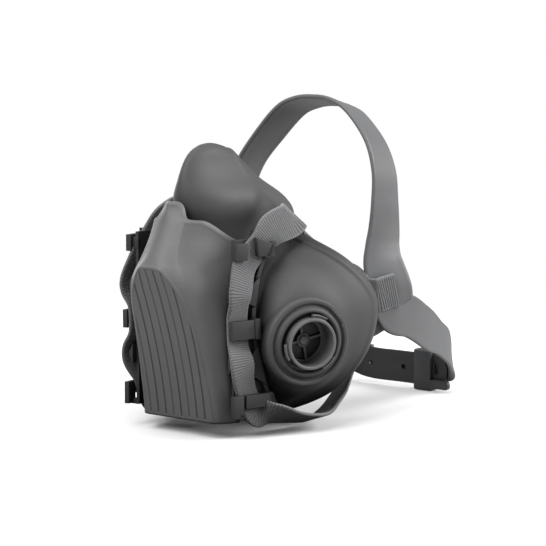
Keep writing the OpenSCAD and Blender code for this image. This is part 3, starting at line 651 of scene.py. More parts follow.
def mark_painted_shade(obj):
    """Writes the painted shade of the shell: how far each point lies in the shade behind a strap frame and
    round a cheek.
    """
    mesh = obj.data
    place = np.zeros(len(mesh.vertices) * 3, np.float32)
    mesh.vertices.foreach_get("co", place)
    points = place.reshape(-1, 3) / MM - Y_SHIFT * BACK
    total = 0
    for _, side in SIDES:
        ring, u, w = cheek_ring(points, side)
        ahead = 1 - smooth(-18, -2, u)
        beyond = smooth(0.86 - 0.24 * ahead, 1.16 - 0.2 * ahead, ring) * smooth(-45, -30, w)
        away = np.linalg.norm(np.cross(mirrored(points, side) - PORT, unit(PORT_AXIS)), axis=1)
        skin = (points[:, 0] * side > 16) * ((away > COLLAR_R + 0.2) | (w < -4))
        total = total + beyond * skin * (1 - 0.35 * smooth(-20, 6, u)) * (1 - smooth(10, 34, u))
    total = total * (1 - smooth(88, 97, points[:, 2]))
    layer = mesh.attributes.new("painted_shade", "FLOAT", "POINT")
    layer.data.foreach_set("value", np.asarray(total, np.float32))


def rim_turn(a):
    """Turn of the rim from straight ahead, in degrees, at each angle round the face."""
    s = np.sin(a)
    upper = RIM_SIDE + (RIM_TOP - RIM_SIDE) * np.sin(np.pi / 2 * np.maximum(s, 0)) ** 1.4
    lower = RIM_SIDE + (RIM_CHIN - RIM_SIDE) * s * s
    waist = WAIST * np.exp(-((np.degrees(np.arcsin(s)) - WAIST_AT) / WAIST_WIDE) ** 2)
    return np.where(s > 0, upper, lower) - waist


def nose_taper(z):
    """Share of its width that the shell keeps at a height: full under the nose, slim along its bridge."""
    full = 0.2 * smooth(92, 104, z) * (1 - smooth(106, 116, z))
    slim = 0.3 * smooth(108, 123, z) * (1 - 0.7 * smooth(122, 131, z))
    return 1 + full - slim


def shell_points(depth):
    """Skin of the shell, that far below its outside: rows from the front to the rim, then the seal."""
    a = np.linspace(0, 2 * math.pi, AROUND, endpoint=False)
    i = np.arange(1, ROWS + SEAL_ROWS + 1)[:, None]
    k = np.maximum(0, i - ROWS) / SEAL_ROWS
    turn = np.radians(rim_turn(a) * np.minimum(i, ROWS) / ROWS + SEAL_TURN * k)
    d = np.stack([np.sin(turn) * np.cos(a), -np.cos(turn), np.sin(turn) * np.sin(a)], -1)
    r = shell_reach(d.reshape(-1, 3)).reshape(turn.shape) * (1 - SEAL_DRAW * k ** 1.7)
    r = r + cheek_relief(HUB + r[..., None] * d)
    r = r + FLANGE * smooth(0.25, 0.75, np.sin(a)) * np.clip((i / ROWS - 0.8) / 0.2, 0, 1)
    if depth == 0:
        r = r + LIP * np.exp(-((i / ROWS - 0.985) / 0.012) ** 2)
    points = HUB + (r - depth)[..., None] * d
    points[..., 0] *= nose_taper(points[..., 2])
    return points


def rail_back(z):
    """Distance back along the frame to its rail, which curves away above and below its middle."""
    rise = (np.asarray(z, float) - RAIL_MID) / 45
    return RAIL_BACK + np.where(rise < 0, 12, 21) * rise ** 2


def pressed_for_frames(points, clear):
    """Moves skin points that would stand in a strap frame's plate back under it."""
    for _, side in SIDES:
        p = mirrored(points, side) - FRAME_AT
        out, back, z = p @ FRAME_OUT, p @ FRAME_BACK, points[..., 2]
        near = smooth(PLATE_Y - 2, PLATE_Y - 0.6, back) * (1 - smooth(2.2, 3.6, back - rail_back(z)))
        near = near * smooth(FRAME_LOW - 2, FRAME_LOW - 0.6, z) * (out > -8)
        near = near * (1 - smooth(FRAME_TOP + 0.6, FRAME_TOP + 2, z))
        over = np.maximum(0, out + clear) * near
        points = points - over[..., None] * mirrored(FRAME_OUT, side)
    return points


def drop_round(points, faces, origin, axis, radius, deep=14):
    """Faces left after those within a round opening are taken away."""
    n = unit(axis)
    rel = points - origin
    along = rel @ n
    away = np.linalg.norm(rel - along[:, None] * n, axis=1)
    gone = (away < radius) & (along > -deep) & (along < deep)
    return [f for f in faces if not all(gone[i] for i in f)]


def shell_skin():
    """Outer and inner skin of the shell, joined along the seal and open at the ports and the outlet."""
    outer = pressed_for_frames(shell_points(0.0), SKIN_GAP)
    inner = pressed_for_frames(shell_points(WALL), SKIN_GAP + WALL * 0.7)
    points = np.concatenate([outer.reshape(-1, 3), inner.reshape(-1, 3)])
    rows = ROWS + SEAL_ROWS
    total = rows * AROUND
    faces = grid_faces(rows, AROUND, 0, True) + grid_faces(rows, AROUND, total, True)
    last = total - AROUND
    for j in range(AROUND):
        k = (j + 1) % AROUND
        faces.append((last + j, last + k, total + last + k, total + last + j))
    faces += [tuple(range(AROUND)), tuple(range(total, total + AROUND))]
    for _, side in SIDES:
        port, axis = mirrored(PORT, side), mirrored(PORT_AXIS, side)
        faces = drop_round(points, faces, port, axis, COLLAR_R - 1.7)
    return points, drop_round(points, faces, OUTLET, -BACK, OUTLET_R)


def on_frame(out, back, z):
    return FRAME_AT + out * FRAME_OUT + back * FRAME_BACK + z * UP


class RESPIRATOR_OT_facepiece(bpy.types.Operator):
    """Rubber facepiece: shell with nose, cheeks and chin, face seal, port collars, outlet boss and posts"""

    bl_idname = "respirator.facepiece"
    bl_label = "Facepiece"

    def execute(self, context):
        collar = soften([
            (12, -7), (COLLAR_R, -7), (COLLAR_R, -0.2), (19.6, 1.15), (18.0, 1.15), (17.1, -0.1),
            (16.2, 0.9), (15.6, 2.0), (14.3, 2.25), (13.5, 1.5), (13.5, -1.5), (12, -1.5)], 0.55)
        boss = soften(oblong(15.2, -7.5, 18.4, 0.5), 0.4, 3)
        post = soften(oblong(1.7, -7, 3.2, -0.1), 0.2, 2)
        parts = [shell_skin(), lathe(boss, OUTLET, -BACK)]
        for _, side in SIDES:
            parts.append(lathe(collar, mirrored(PORT, side), mirrored(PORT_AXIS, side), steps=128))
            for z in PIN_HEIGHTS:
                spot = mirrored(on_frame(0, PIN_BACK, z), side)
                parts.append(lathe(post, spot, mirrored(FRAME_OUT, side), steps=32))
        obj = new_piece("facepiece_rubber_body", *gathered(parts), sharp=50)
        # Painted shade on the shell behind the strap frames and round the cheeks.
        mark_painted_shade(obj)
        finish = moulded("facepiece_rubber", colours().rubber, 0.56, grain=0.05, specular=0.28, sheen=0.03,
                         edge=1.7, painted_shade=True)
        dressed(obj, finish, "mask", "facepiece")
        return {"FINISHED"}


def arch_share(z):
    """Share of the way up the panel's arch, 0 below it."""
    return np.maximum(0, z - ARCH_FROM) / (PANEL_TOP - ARCH_FROM)


def panel_half(z):
    """Half width of the panel, which closes in an arch, and of the crest above it."""
    panel = PANEL_HALF - 0.07 * (z - COVER_LOW) - 8.6 * arch_share(z) ** 3
    crest = CREST_HALF + 3.7 * np.exp(-np.maximum(0, z - PANEL_TOP) * 0.23)
    return np.where(z < PANEL_TOP, panel, crest)


def panel_y(z):
    """Y of the panel's middle line, which leans further forward towards its top."""
    return 7.43 - 0.0907 * z - 0.00219 * z * z


def front_line(z):
    """Y of the middle line from the foot to the tip."""
    tip_y = 0.8
    rise = np.clip((z - PANEL_TOP) / (COVER_TIP - PANEL_TOP), 0, 1)
    top = panel_y(PANEL_TOP)
    return np.where(z < PANEL_TOP, panel_y(z), top + (tip_y - top) * (1.15 * rise - 0.15 * rise ** 3))


def wing_share(t, z):
    """Share of the way back from the panel's edge (0) to the cover's side (1)."""
    blur = 0.16
    high = smooth(42, 82, z)
    total = 0
    for k in (-1, -0.5, 0, 0.5, 1):
        at = np.clip(t + k * blur * np.minimum(1, np.minimum(t, 1 - t) / blur), 0, 1)
        upper = np.interp(at, [0, 0.54, 1], [0, 0.21, 1])
        lower = np.interp(at, [0, 0.34, 1], [0, 0.14, 1])
        total = total + lower + (upper - lower) * high
    return total / 5


def cover_front(x, z, pitch, depth):
    """Y of the cover's face: fluted panel, hollow wings and the lean of the upper part."""
    a = np.abs(x)
    p = panel_half(z)
    ease = 0.8 + 3.2 * smooth(72, 86, z)
    beyond = (a - p + np.hypot(a - p, ease)) / 2
    t = np.clip(beyond / (COVER_HALF - p), 0, 1)
    front = front_line(z)
    eased = sum(front_line(z + k) for k in range(-9, 10, 3)) / 7
    front = front + (eased - front) * smooth(0, 0.3, t) * (1 - smooth(92, 99, z))
    side = 9.5 + 6.5 * np.maximum(0, (45 - z) / 38) ** 2 + 13.5 * smooth(56, 92, z)
    roof = smooth(97, 107, z)
    share = wing_share(t, z) * (1 - roof) + roof * (a / COVER_HALF) ** 1.25
    y = front + (side - front) * share
    beside = (a - p) / np.hypot(1, 0.07 + 0.78 * arch_share(z) ** 2)
    above = z - PANEL_TOP
    away = (beside + above + np.sqrt((beside - above) ** 2 + 2.0)) / 2
    y = y + 0.6 * smooth(0, 0.9, away) * (1 - roof) - 0.25 * np.exp(-((away + 0.5) / 0.38) ** 2)
    k = np.clip(np.floor(x / pitch), -4, 3) + 0.5
    groove = np.maximum(0, 1 - ((x - k * pitch) / GROOVE_HALF) ** 2)
    room = smooth(0.9, 1.5, -away) * smooth(COVER_LOW + 1.2, COVER_LOW + 2.0, z)
    return y + depth * groove * room


def cover_top(x):
    """Height of the cover's top edge: a blunt tip, a hollow on each side and a drop along the sides."""
    a = np.abs(x)
    tip = np.exp(-(a / 8.5) ** 4)
    hollow = 2.5 * (1 - a / COVER_HALF) * (1 - tip)
    return COVER_EDGE + 10 + 9.3 * tip + hollow - 10 * smooth(17, COVER_HALF + 2, a)


def cover_grid():
    """Grid of x and z over the cover, fine across the grooves, and the height of its top edge."""
    fine = 21
    edge = np.linspace(fine, COVER_HALF, 16)[1:]
    xs = np.concatenate([-edge[::-1], np.linspace(-fine, fine, 221), edge])
    foot, middle, shoulder, rising = COVER_LOW + 3, 64, 81, 44
    level = np.concatenate([np.linspace(COVER_LOW, foot, 9), np.linspace(foot, middle, 74)[1:],
                            np.linspace(middle, shoulder, 42)[1:]])
    top = cover_top(xs)
    upper = shoulder + (top - shoulder)[None] * (np.arange(1, rising + 1) / rising)[:, None]
    z = np.concatenate([np.repeat(level[:, None], len(xs), 1), upper])
    return np.repeat(xs[None], len(z), 0), z, top[None]


def cover_collar(pitch, thick, steps=96):
    """Ring behind the cover that snaps over the outlet seat."""
    inner, outer = 18.0, 19.8
    turns = np.linspace(0, 2 * math.pi, steps, endpoint=False)
    rings = []
    for r, ahead in ((inner, False), (outer, False), (outer, True), (inner, True)):
        x = r * np.cos(turns)
        z = OUTLET[2] + r * np.sin(turns)
        y = cover_front(x, z, pitch, 0.0) + thick * 0.6 if ahead else np.full(steps, OUTLET[1] - 1.0)
        rings.append(np.stack([x, y, z], -1))
    return closed_rows(np.stack(rings), ring=True)


class RESPIRATOR_OT_front_cover(bpy.types.Operator):
    """Front cover: fluted panel, hollow wings, rolled edge and the collar round the outlet seat"""

    bl_idname = "respirator.front_cover"
    bl_label = "Front cover"

    def execute(self, context):
        pitch = sizes().groove_pitch / MM
        depth = sizes().groove_depth / MM
        thick = sizes().cover_thickness / MM
        x, z, top = cover_grid()
        rim = np.minimum(COVER_HALF - np.abs(x), (top - z) * 0.85)
        radius = 0.9
        inset = np.clip(radius - np.minimum(rim, z - COVER_LOW), 0, radius)
        y = cover_front(x, z, pitch, depth) + radius - np.sqrt(np.maximum(0, radius ** 2 - inset ** 2))
        y = y - 0.18 * np.exp(-((rim - 1.0) / 0.45) ** 2) * smooth(60, 75, z)
        back = cover_front(x, z, pitch, 0.0) + thick
        x = x * (1 - 0.24 * smooth(64, 94, z))
        rows, cols = x.shape
        total = rows * cols
        points = np.concatenate([np.stack([x, face, z], -1).reshape(-1, 3) for face in (y, back)])
        faces = grid_faces(rows, cols) + grid_faces(rows, cols, total)
        loop = [(0, j) for j in range(cols)] + [(i, cols - 1) for i in range(1, rows)]
        loop += [(rows - 1, j) for j in range(cols - 2, -1, -1)] + [(i, 0) for i in range(rows - 2, 0, -1)]
        for n, (i, j) in enumerate(loop):
            m, k = loop[(n + 1) % len(loop)]
            faces.append((i * cols + j, m * cols + k, total + m * cols + k, total + i * cols + j))
        parts = [(points, faces), cover_collar(pitch, thick)]
        obj = new_piece("front_cover_shell", *gathered(parts), sharp=48)
        finish = moulded("cover_finish", colours().cover, 0.5, grain=0.045, grain_scale=2200.0,
                         specular=0.35, edge=1.05)
        dressed(obj, finish, "cover", "front_cover")
        return {"FINISHED"}


# Sections of the bayonet ring and of its slotted lugs: radius and height from the port's face
CONNECTOR_PROFILE = [
    (10.9, -10.9), (11.8, -10.9), (11.8, -8.7), (14.5, -8.7), (14.5, -7.2), (11.8, -7.2), (11.8, 5.0),
    (10.4, 5.0), (10.4, -2.8), (10.8, -2.8), (10.8, -4.5), (9.0, -4.5), (9.0, -6.3), (10.9, -6.3)]
LUG_PROFILE = [
    (11.2, 2.6), (13.4, 2.6), (13.4, 4.6), (12.85, 4.6), (12.7, 3.9), (12.05, 3.9), (11.9, 4.6),
    (11.2, 4.6)]
LUG_CLOCKS = (16, 136, 256)
LUG_SWEEP = 32
SPOKE_CLOCKS = (78, 168, 258, 348)


class RESPIRATOR_OT_inlets(bpy.types.Operator):
    """Bayonet rings with slotted lugs, seats and spoke wheels"""

    bl_idname = "respirator.inlets"
    bl_label = "Inlet rings"

    def execute(self, context):
        finish = moulded("inlet_finish", colours().inlets, 0.42, grain=0.03, specular=0.5, edge=1.8)
        ring = soften(CONNECTOR_PROFILE, 0.35, 3)
        lug = soften(LUG_PROFILE, 0.18, 2)
        hub = soften(oblong(1.1, -6.3, 3.3, -4.5), 0.25, 3)
        bar = soften(oblong(-0.6, -6.1, 0.6, -4.7), 0.25, 2)
        for name, side in SIDES:
            origin = mirrored(PORT, side)
            axis = mirrored(PORT_AXIS, side)
            right, up, out = axes_along(axis)
            parts = [lathe(ring, origin, axis, steps=120), lathe(hub, origin, axis, steps=48)]
            for clock in LUG_CLOCKS:
                start = 90 - side * clock - LUG_SWEEP / 2
                parts.append(lathe(lug, origin, axis, start, LUG_SWEEP, 20))
            for clock in SPOKE_CLOCKS:
                turn = math.radians(90 - side * clock)
                way = math.cos(turn) * right + math.sin(turn) * up
                parts.append(prism(bar, 2.7, 9.3, origin, np.cross(out, way), out, way))
            obj = new_piece("inlet_ring_" + name, *gathered(parts), sharp=40)
            dressed(obj, finish, "mask", "inlet_connector_" + name)
        return {"FINISHED"}


class RESPIRATOR_OT_valves(bpy.types.Operator):
    """Finishes of the valve flaps, seats, studs, gaskets and pins, which keep their CAD shape"""

    bl_idname = "respirator.valves"
    bl_label = "Valves and pins"

    def execute(self, context):
        dark = moulded("valve_finish", colours().valve, 0.42, grain=0.02, specular=0.45)
        pale = moulded("stud_plastic", shade(colours().inlets, 1.35), 0.35, grain=0.02, edge=1.5)
        inner = moulded("inner_finish", colours().cover, 0.5, grain=0.04)
        pins = moulded("pin_plastic", colours().frames, 0.45, grain=0.03)
        kinds = (("flap", dark), ("gasket", dark), ("inhalation_stud", pale), ("exhalation_stud", inner),
                 ("exhalation_seat", inner), ("frame_pins", pins))
        for name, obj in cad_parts.items():
            for word, finish in kinds:
                if word in name:
                    obj.data.materials.clear()
                    obj.data.materials.append(finish)
        return {"FINISHED"}


def frame_plate(outline, inner, outer):
    """Plate of a strap frame with an outline of (back, height) places."""
    return prism(outline, inner, outer, FRAME_AT, FRAME_BACK, UP, FRAME_OUT)


def rail_edge(rows, inset=0.0):
    """Outline places along the rail's rear edge, or that far in front of it."""
    return [(float(rail_back(z)) + RAIL_T - inset, z) for z in rows]


def frame_slab(front, low, high, inner, outer):
    """Plate of a strap frame with its rear edge along the rail."""
    return frame_plate([(front, high), (front, low)] + rail_edge(np.linspace(low, high, 14)), inner, outer)


def frame_rail(low, high, outer, wide):
    rows = np.linspace(low, high, 26)
    return frame_plate(rail_edge(rows[::-1], wide) + rail_edge(rows), 0, outer)


def frame_block(back, high, wide, tall, inner, outer):
    return frame_plate(oblong(back, high - tall, back + wide, high), inner, outer)


def frame_parts():
    parts = [
        # plate and rear rail
        frame_slab(PLATE_Y + 3.2, FRAME_LOW, FRAME_TOP, 0, PLATE_T),
        frame_rail(15, 84, 3.4, 2.2),
        # upper tab with its stem, and the loop behind it
        frame_block(5, 88.6, 6.6, 7.6, LOOP_IN - 0.6, LOOP_OUT - 0.3),
        frame_block(6.6, 87.6, 2.4, 5.6, 0, LOOP_IN),
        frame_plate([(16.6, 90.8), (26.4, 87.6), (27.4, 81.6), (17.6, 82.4)], LOOP_IN, LOOP_OUT),
        frame_rail(81.5, 88.5, LOOP_OUT, 2.6),
        # middle loop
        frame_slab(2.4, 45.8, 54.2, LOOP_IN, LOOP_OUT),
        frame_rail(45.4, 54.6, LOOP_OUT + 0.4, 3.0),
        # lower loop, and the guide before it with its stem
        frame_slab(10.5, 14.5, 20.5, LOOP_IN, LOOP_OUT),
        frame_rail(14, 20.5, LOOP_OUT, 2.8),
        frame_block(3.4, 20.6, 5.8, 10.2, LOOP_IN, LOOP_OUT),
        frame_block(6.9, 12.6, 2.2, 2.6, 0, LOOP_OUT)]
    sunk = PLATE_T - 0.2
    for heights in ((73, 69, 62, 59.5), (42, 37, 28, 24)):
        fin = [(float(rail_back(z)) + 0.8 - inset, z) for z, inset in zip(heights, (0, 4.6, 5.4, 0))]
        parts.append(frame_plate(fin, sunk, 4.3))
    ridge = [(sunk, -4.5), (3.4, -1), (3.4, 1), (sunk, 4.5)]
    for z in (66, 34):
        rear = float(rail_back(z)) + 0.1
        parts.append(prism(ridge, PLATE_Y, rear, on_frame(0, 0, z), FRAME_OUT, UP, FRAME_BACK))
    return parts


class RESPIRATOR_OT_strap_frames(bpy.types.Operator):
    """Strap frames: plate, rear rail, loops over the webbing, ridges under it and the guide at the foot"""

    bl_idname = "respirator.strap_frames"
    bl_label = "Strap frames"

    def execute(self, context):
        finish = moulded("frame_finish", colours().frames, 0.54, grain=0.04, specular=0.2, edge=1.25)
        for name, side in SIDES:
            obj = new_piece("strap_frame_moulding_" + name, *gathered(frame_parts()), side=side, sharp=35)
            rounded_edges(obj, 0.7, 50)
            dressed(obj, finish, "mask", "strap_frame_" + name)
        return {"FINISHED"}


def through(a, b, c, d, t):
    """Smooth curve from b to c, with a before and d after them."""
    bend = (2 * a - 5 * b + 4 * c - d) * t * t
    twist = (3 * b - a - 3 * c + d) * t ** 3
    return 0.5 * (2 * b + (c - a) * t + bend + twist)


def strap_path(stations, spacing):
    """Evenly spaced places along a strap: point, across, outward normal, width and distance."""
    table = np.array([np.concatenate([p, unit(n), [w]]) for p, n, w in stations])
    rows = []
    last = len(table) - 1
    for i in range(last):
        a, b, c, d = (table[np.clip(i + k, 0, last)] for k in (-1, 0, 1, 2))
        for t in np.linspace(0, 1, 24, endpoint=False):
            rows.append(through(a, b, c, d, t))
    rows.append(table[-1])
    rows = np.array(rows)
    length = np.concatenate([[0], np.cumsum(np.linalg.norm(np.diff(rows[:, :3], axis=0), axis=1))])
    far = np.linspace(0, length[-1], max(2, int(length[-1] / spacing)) + 1)
    even = np.stack([np.interp(far, length, column) for column in rows.T], 1)
    point = even[:, :3]
    along = unit(np.gradient(point, axis=0))
    across = unit(np.cross(even[:, 3:6], along))
    return point, across, np.cross(along, across), even[:, 6], far


def strap_section(thick, edge, flat, corner=4):
    """Rounded section as (share of the half width, width offset, height offset, face mark)."""
    spots = [(s, 0, thick / 2, 1) for s in np.linspace(-1, 1, flat)]
    for sign, start in ((1, 90), (-1, -90)):
        for k in range(1, corner * 2):
            t = math.radians(start - 180 * k / (corner * 2))
            high = math.sin(t)
            straight = math.copysign(thick / 2 - edge, high) * (abs(high) > 1e-6)
            spots.append((sign, edge * math.cos(t), edge * high + straight, 0))
        if sign == 1:
            spots += [(s, 0, -thick / 2, -1) for s in np.linspace(1, -1, flat)]
    return np.array(spots)


def strap_piece(name, stations, thick, edge, spacing, side=1, relief=None, ends=None, flat=9, sharp=60):
    """Strap swept through its stations; relief adds height by (distance, across, face, width)."""
    point, across, normal, width, far = strap_path(stations, spacing)
    if ends is not None:
        width = ends(width, far)
    section = strap_section(thick, edge, flat)
    half = np.maximum(0.05, width / 2 - edge)
    u = section[None, :, 0] * half[:, None] + section[None, :, 1]
    h = np.repeat(section[None, :, 2], len(far), 0)
    if relief is not None:
        h = h + relief(far[:, None], u, section[None, :, 3], width[:, None])
    points = point[:, None] + u[..., None] * across[:, None] + h[..., None] * normal[:, None]
    points, faces = closed_rows(points)
    mesh = bpy.data.meshes.new(name)
    mesh.from_pydata(placed(points, side).tolist(), [], faces)
    layer = mesh.uv_layers.new(name="strap")
    table = np.stack([u, np.repeat(far[:, None], u.shape[1], 1)], -1).reshape(-1, 2) * MM
    index = np.zeros(len(mesh.loops), np.int32)
    mesh.loops.foreach_get("vertex_index", index)
    layer.uv.foreach_set("vector", table[index].astype(np.float32).ravel())
    return as_object(mesh, sharp)


def on_patch(out, back, rise=0.0):
    return PATCH + out * PATCH_OUT + back * PATCH_BACK + rise * UP


def laced(out, back, z, width):
    """Station of the webbing on a strap frame."""
    return on_frame(out, WEB_MID + back, z), FRAME_OUT, width


def webbing_stations():
    """Route of the left webbing, as stations of (point, outward direction, width)."""
    spots = [
        # sewn patch and the way up behind the cheek
        (on_patch(2, 2), PATCH_OUT, 16), (on_patch(2, -3), PATCH_OUT, 16),
        (on_patch(2, -9), (0.8, -0.58, 0), 16), ((40.5, 88.3, 60.6), (0.5, -0.86, 0), 15),
        ((36, 84.5, 67), (0.6, -0.55, 0.55), 16), ((32.5, 79, 74), (0.72, 0.25, 0.6), 14),
        ((28.5, 70, 82), (0.7, 0.6, 0.4), 13), ((27.5, 60, 90), (0.62, 0.66, 0.42), 13),
        # fold over the rim, forward to the frame
        ((31, 51.5, 96.6), (0.45, 0.62, 0.64), 14), ((35, 46.3, 98.6), (0.7, 0.1, 0.7), 15.5),
        ((35.8, 42, 96.8), (0.92, -0.15, 0.36), 16), ((34.2, 32, 93.5), (0.95, -0.15, 0.25), 15),
        # down the frame, over two ridges and under three loops
        laced(LACE, 13, 87.5, 13), laced(LACE + 0.3, 4, 79, 13.5),
        laced(BULGE + 1.0, -0.6, 69, 13), laced(BULGE + 1.2, -1.4, 63.5, 12),
        laced(LACE, -0.4, 56, 11.5), laced(LACE, 0, 44, 11.5),
        laced(BULGE + 0.8, -0.2, 37, 13), laced(BULGE + 1.0, 0.6, 31, 13),
        laced(LACE + 0.2, 4.3, 22.5, 11.5), laced(LACE, 7.5, 15.5, 12), laced(LACE, 11.3, 11.5, 13),
        # back under the cheek
        ((36.8, 30.5, 10.4), (0.68, -0.03, -0.72), 14), ((38.3, 38, 8.2), (0.42, 0.05, -0.9), 15),
        ((38.8, 47, 6.4), (0.3, 0.12, -0.94), 16), ((38.2, 59, 5.2), (0.3, 0.25, -0.92), 16),
        ((36.3, 69, 7.6), (0.36, 0.5, -0.78), 16), ((35, 79, 13), (0.45, 0.7, -0.55), 16),
        # up to the inside of the patch
        ((36.6, 88.6, 26), (0.7, 0.64, -0.3), 14), ((40.2, 94.3, 39), (0.86, 0.45, -0.2), 16),
        (on_patch(-3.5, 1, -10), (0.95, -0.2, -0.1), 14), (on_patch(-2, 1), PATCH_OUT, 14),
        (on_patch(-2, 2, 7) - 2.3 * ACROSS - 0.2 * BACK, PATCH_OUT, 14)]
    return [(np.asarray(p, float), n, float(w)) for p, n, w in spots]


class RESPIRATOR_OT_webbing(bpy.types.Operator):
    """Ribbed webbing laced down each strap frame and sewn to the cradle"""

    bl_idname = "respirator.webbing"
    bl_label = "Webbing"

    def execute(self, context):
        pitch = sizes().rib_pitch / MM
        high = sizes().rib_height / MM
        thick = sizes().web_thickness / MM - high

        def ribs(far, u, face, width):
            inside = 1 - smooth(width / 2 - 1.4, width / 2 - 0.9, np.abs(u))
            rib = np.abs(np.sin(math.pi * far / pitch)) * high * inside
            selvedge = 0.1 * (1 - inside)
            return face * (rib + selvedge)

        finish = woven("webbing_weave", colours().webbing, sizes().rib_pitch)
        for name, side in SIDES:
            obj = strap_piece("webbing_strap_" + name, webbing_stations(), thick, thick * 0.45, pitch / 4,
                              side, relief=ribs, flat=13)
            dressed(obj, finish, "mask", "webbing_" + name)
        return {"FINISHED"}


def half_band():
    """Route of the cradle from the crown down its left arm to the nape, as stations."""
    narrow = (BAND_W + TAIL_W) / 2
    rows = [
        # over the crown and down to the pad
        ((0, 105, 147.5), (0, 0.24, 0.97), BAND_W), ((10, 104.5, 146.4), (0.2, 0.26, 0.94), BAND_W),
        ((20, 103.8, 142), (0.47, 0.25, 0.84), BAND_W), ((32.3, 103, 129.6), (0.79, 0.2, 0.57), BAND_W),
        ((40.8, 102.5, 116), (0.93, 0.1, 0.33), BAND_W), ((44, 102, 102), (0.99, 0, 0.1), BAND_W),
        ((43.6, 102, 88.5), (0.98, -0.15, 0.02), BAND_W), ((43.6, 101, 80.5), (0.95, -0.28, 0), BAND_W),
        ((45, 100, 72.5), (0.9, -0.42, 0), (BAND_W + PAD_W) / 2), (PATCH, PATCH_OUT, PAD_W),
        # round the bend and back along the tail
        ((50.3, 102.1, 50.6), (0.95, -0.3, 0), PAD_W - 1), ((50.5, 113, 47), (0.99, -0.1, 0), PAD_W - 2),
        ((49.5, 122, 43), (1, 0.05, 0), BAND_W), ((47, 134, 37.5), (0.97, 0.22, 0), BAND_W),
        ((43, 147.5, 32), (0.92, 0.4, 0), narrow), ((38, 161, 26), (0.85, 0.53, 0), narrow),
        ((32.5, 171.5, 17.75), (0.7, 0.71, 0), TAIL_W), ((27.5, 177, 12.25), (0.3, 0.95, 0), TAIL_W),
        ((20.5, NAPE_Y, 12.25), (0, 1, 0), TAIL_W)]
    return [(np.asarray(p, float), np.asarray(n, float), w) for p, n, w in rows]


def flipped(station):
    p, n, w = station
    return mirrored(p, -1), mirrored(n, -1), w


def cradle_stations():
    """Whole cradle, its crown leaning a little to the wearer's left."""
    half = half_band()
    whole = [flipped(s) for s in half[:0:-1]] + half
    return [(p + CROWN_LEAN * smooth(102, 134, p[2]) * ACROSS, n, w) for p, n, w in whole]


class RESPIRATOR_OT_head_cradle(bpy.types.Operator):
    """Head cradle: soft band with rolled edges over the crown and down to the nape"""

    bl_idname = "respirator.head_cradle"
    bl_label = "Head cradle"

    def execute(self, context):
        thick = sizes().band_thickness / MM

        def rolled(far, u, face, width):
            return face * 0.12 * np.exp(-((np.abs(u) - width / 2 + 1.5) / 0.6) ** 2)

        finish = moulded("cradle_finish", colours().cradle, 0.5, grain=0.035, grain_scale=2000.0,
                         specular=0.45, sheen=0.1)
        obj = strap_piece("head_cradle_band", cradle_stations(), thick, thick * 0.42, 0.8,
                          relief=rolled, flat=21)
        dressed(obj, finish, "mask", "head_cradle")
        return {"FINISHED"}


class RESPIRATOR_OT_neck_strap(bpy.types.Operator):
    """Dark neck strap with its holes and the slot at its free end"""

    bl_idname = "respirator.neck_strap"
    bl_label = "Neck strap"

    def execute(self, context):
        thick = sizes().neck_thickness / MM
        tuck = (sizes().band_thickness / MM + thick) / 2 + 0.8
        stations = [(NECK_AT + x * ACROSS, BACK, NECK_W) for x in (28.4, 18, 0, -18)]
        for station in half_band()[-2:-4:-1]:
            p, n, _ = flipped(station)
            stations.append((p - tuck * unit(n), n, NECK_W))

        def round_end(width, far):
            radius = NECK_W / 2
            near = np.clip(radius - far, 0, radius - 0.01)
            return np.minimum(width, 2 * np.sqrt(radius ** 2 - near ** 2))

        obj = strap_piece("neck_strap_band", stations, thick, 0.35, 0.5, ends=round_end, sharp=45)
        cutters = []
        for x, deep in ((1.3, 0.5), (-19.7, 4)):
            hole = oblong(0.01, -4, 1.3, deep)
            cutters.append(new_piece("hole", *lathe(hole, NECK_AT + [x, 0, 0], BACK, steps=32)))
        slot = [(1.2 * math.cos(t) + 21.9, math.copysign(1.7, math.sin(t)) + 1.3 * math.sin(t))
                for t in np.linspace(0, 2 * math.pi, 32, endpoint=False) + 0.01]
        level = [0, NECK_AT[1], NECK_AT[2] + 1]
        cutters.append(new_piece("slot", *prism(slot, -4, 4, level, ACROSS, UP, BACK)))
        combined(obj, cutters, "DIFFERENCE", 45)
        finish = moulded("neck_rubber", colours().neck, 0.48, grain=0.03, specular=0.5)
        dressed(obj, finish, "mask", "neck_strap")
        return {"FINISHED"}


class RESPIRATOR_OT_buckle(bpy.types.Operator):
    """Buckle: the sleeve that slides on the neck strap, with its hook rail"""

    bl_idname = "respirator.buckle"
    bl_label = "Buckle"

    def execute(self, context):
        low, high = (np.array(v) / MM - Y_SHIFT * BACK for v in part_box("buckle"))
        middle, half, tall, wall = 14.5, 5, 20.5, 2.0
        room = sizes().neck_thickness / MM / 2 + 0.25
        near = NECK_AT[1] - room
        rear = NECK_AT[1] + room
        top = high[2]
        foot = top - tall
        origin = [0, 0, 0]
        outer = soften(oblong(near - wall, foot, rear + wall, top), 1.3)
        sleeve = prism(outer, middle - half, middle + half, origin, BACK, UP, ACROSS)
        body = new_piece("buckle_sleeve", *sleeve)
        inner = soften(oblong(near, foot + wall, rear, top - wall), 0.3, 2)
        mouth = prism(inner, middle - half - 4, middle + half + 4, origin, BACK, UP, ACROSS)
        combined(body, [new_piece("mouth", *mouth)], "DIFFERENCE", 40)
        rail_low = low[2] + 1.4
        hook = soften(oblong(middle + half - 0.5, rail_low, high[0], rail_low + 4.4), 2.0, 5)
        rail = prism(hook, near - wall, near, origin, ACROSS, UP, BACK)
        combined(body, [new_piece("hook_rail", *rail)], "UNION")
        rounded_edges(body, 0.5, 50)
        finish = moulded("buckle_finish", colours().buckle, 0.4, grain=0.03, specular=0.5, edge=1.6)
        dressed(body, finish, "keeper", "buckle")
        return {"FINISHED"}


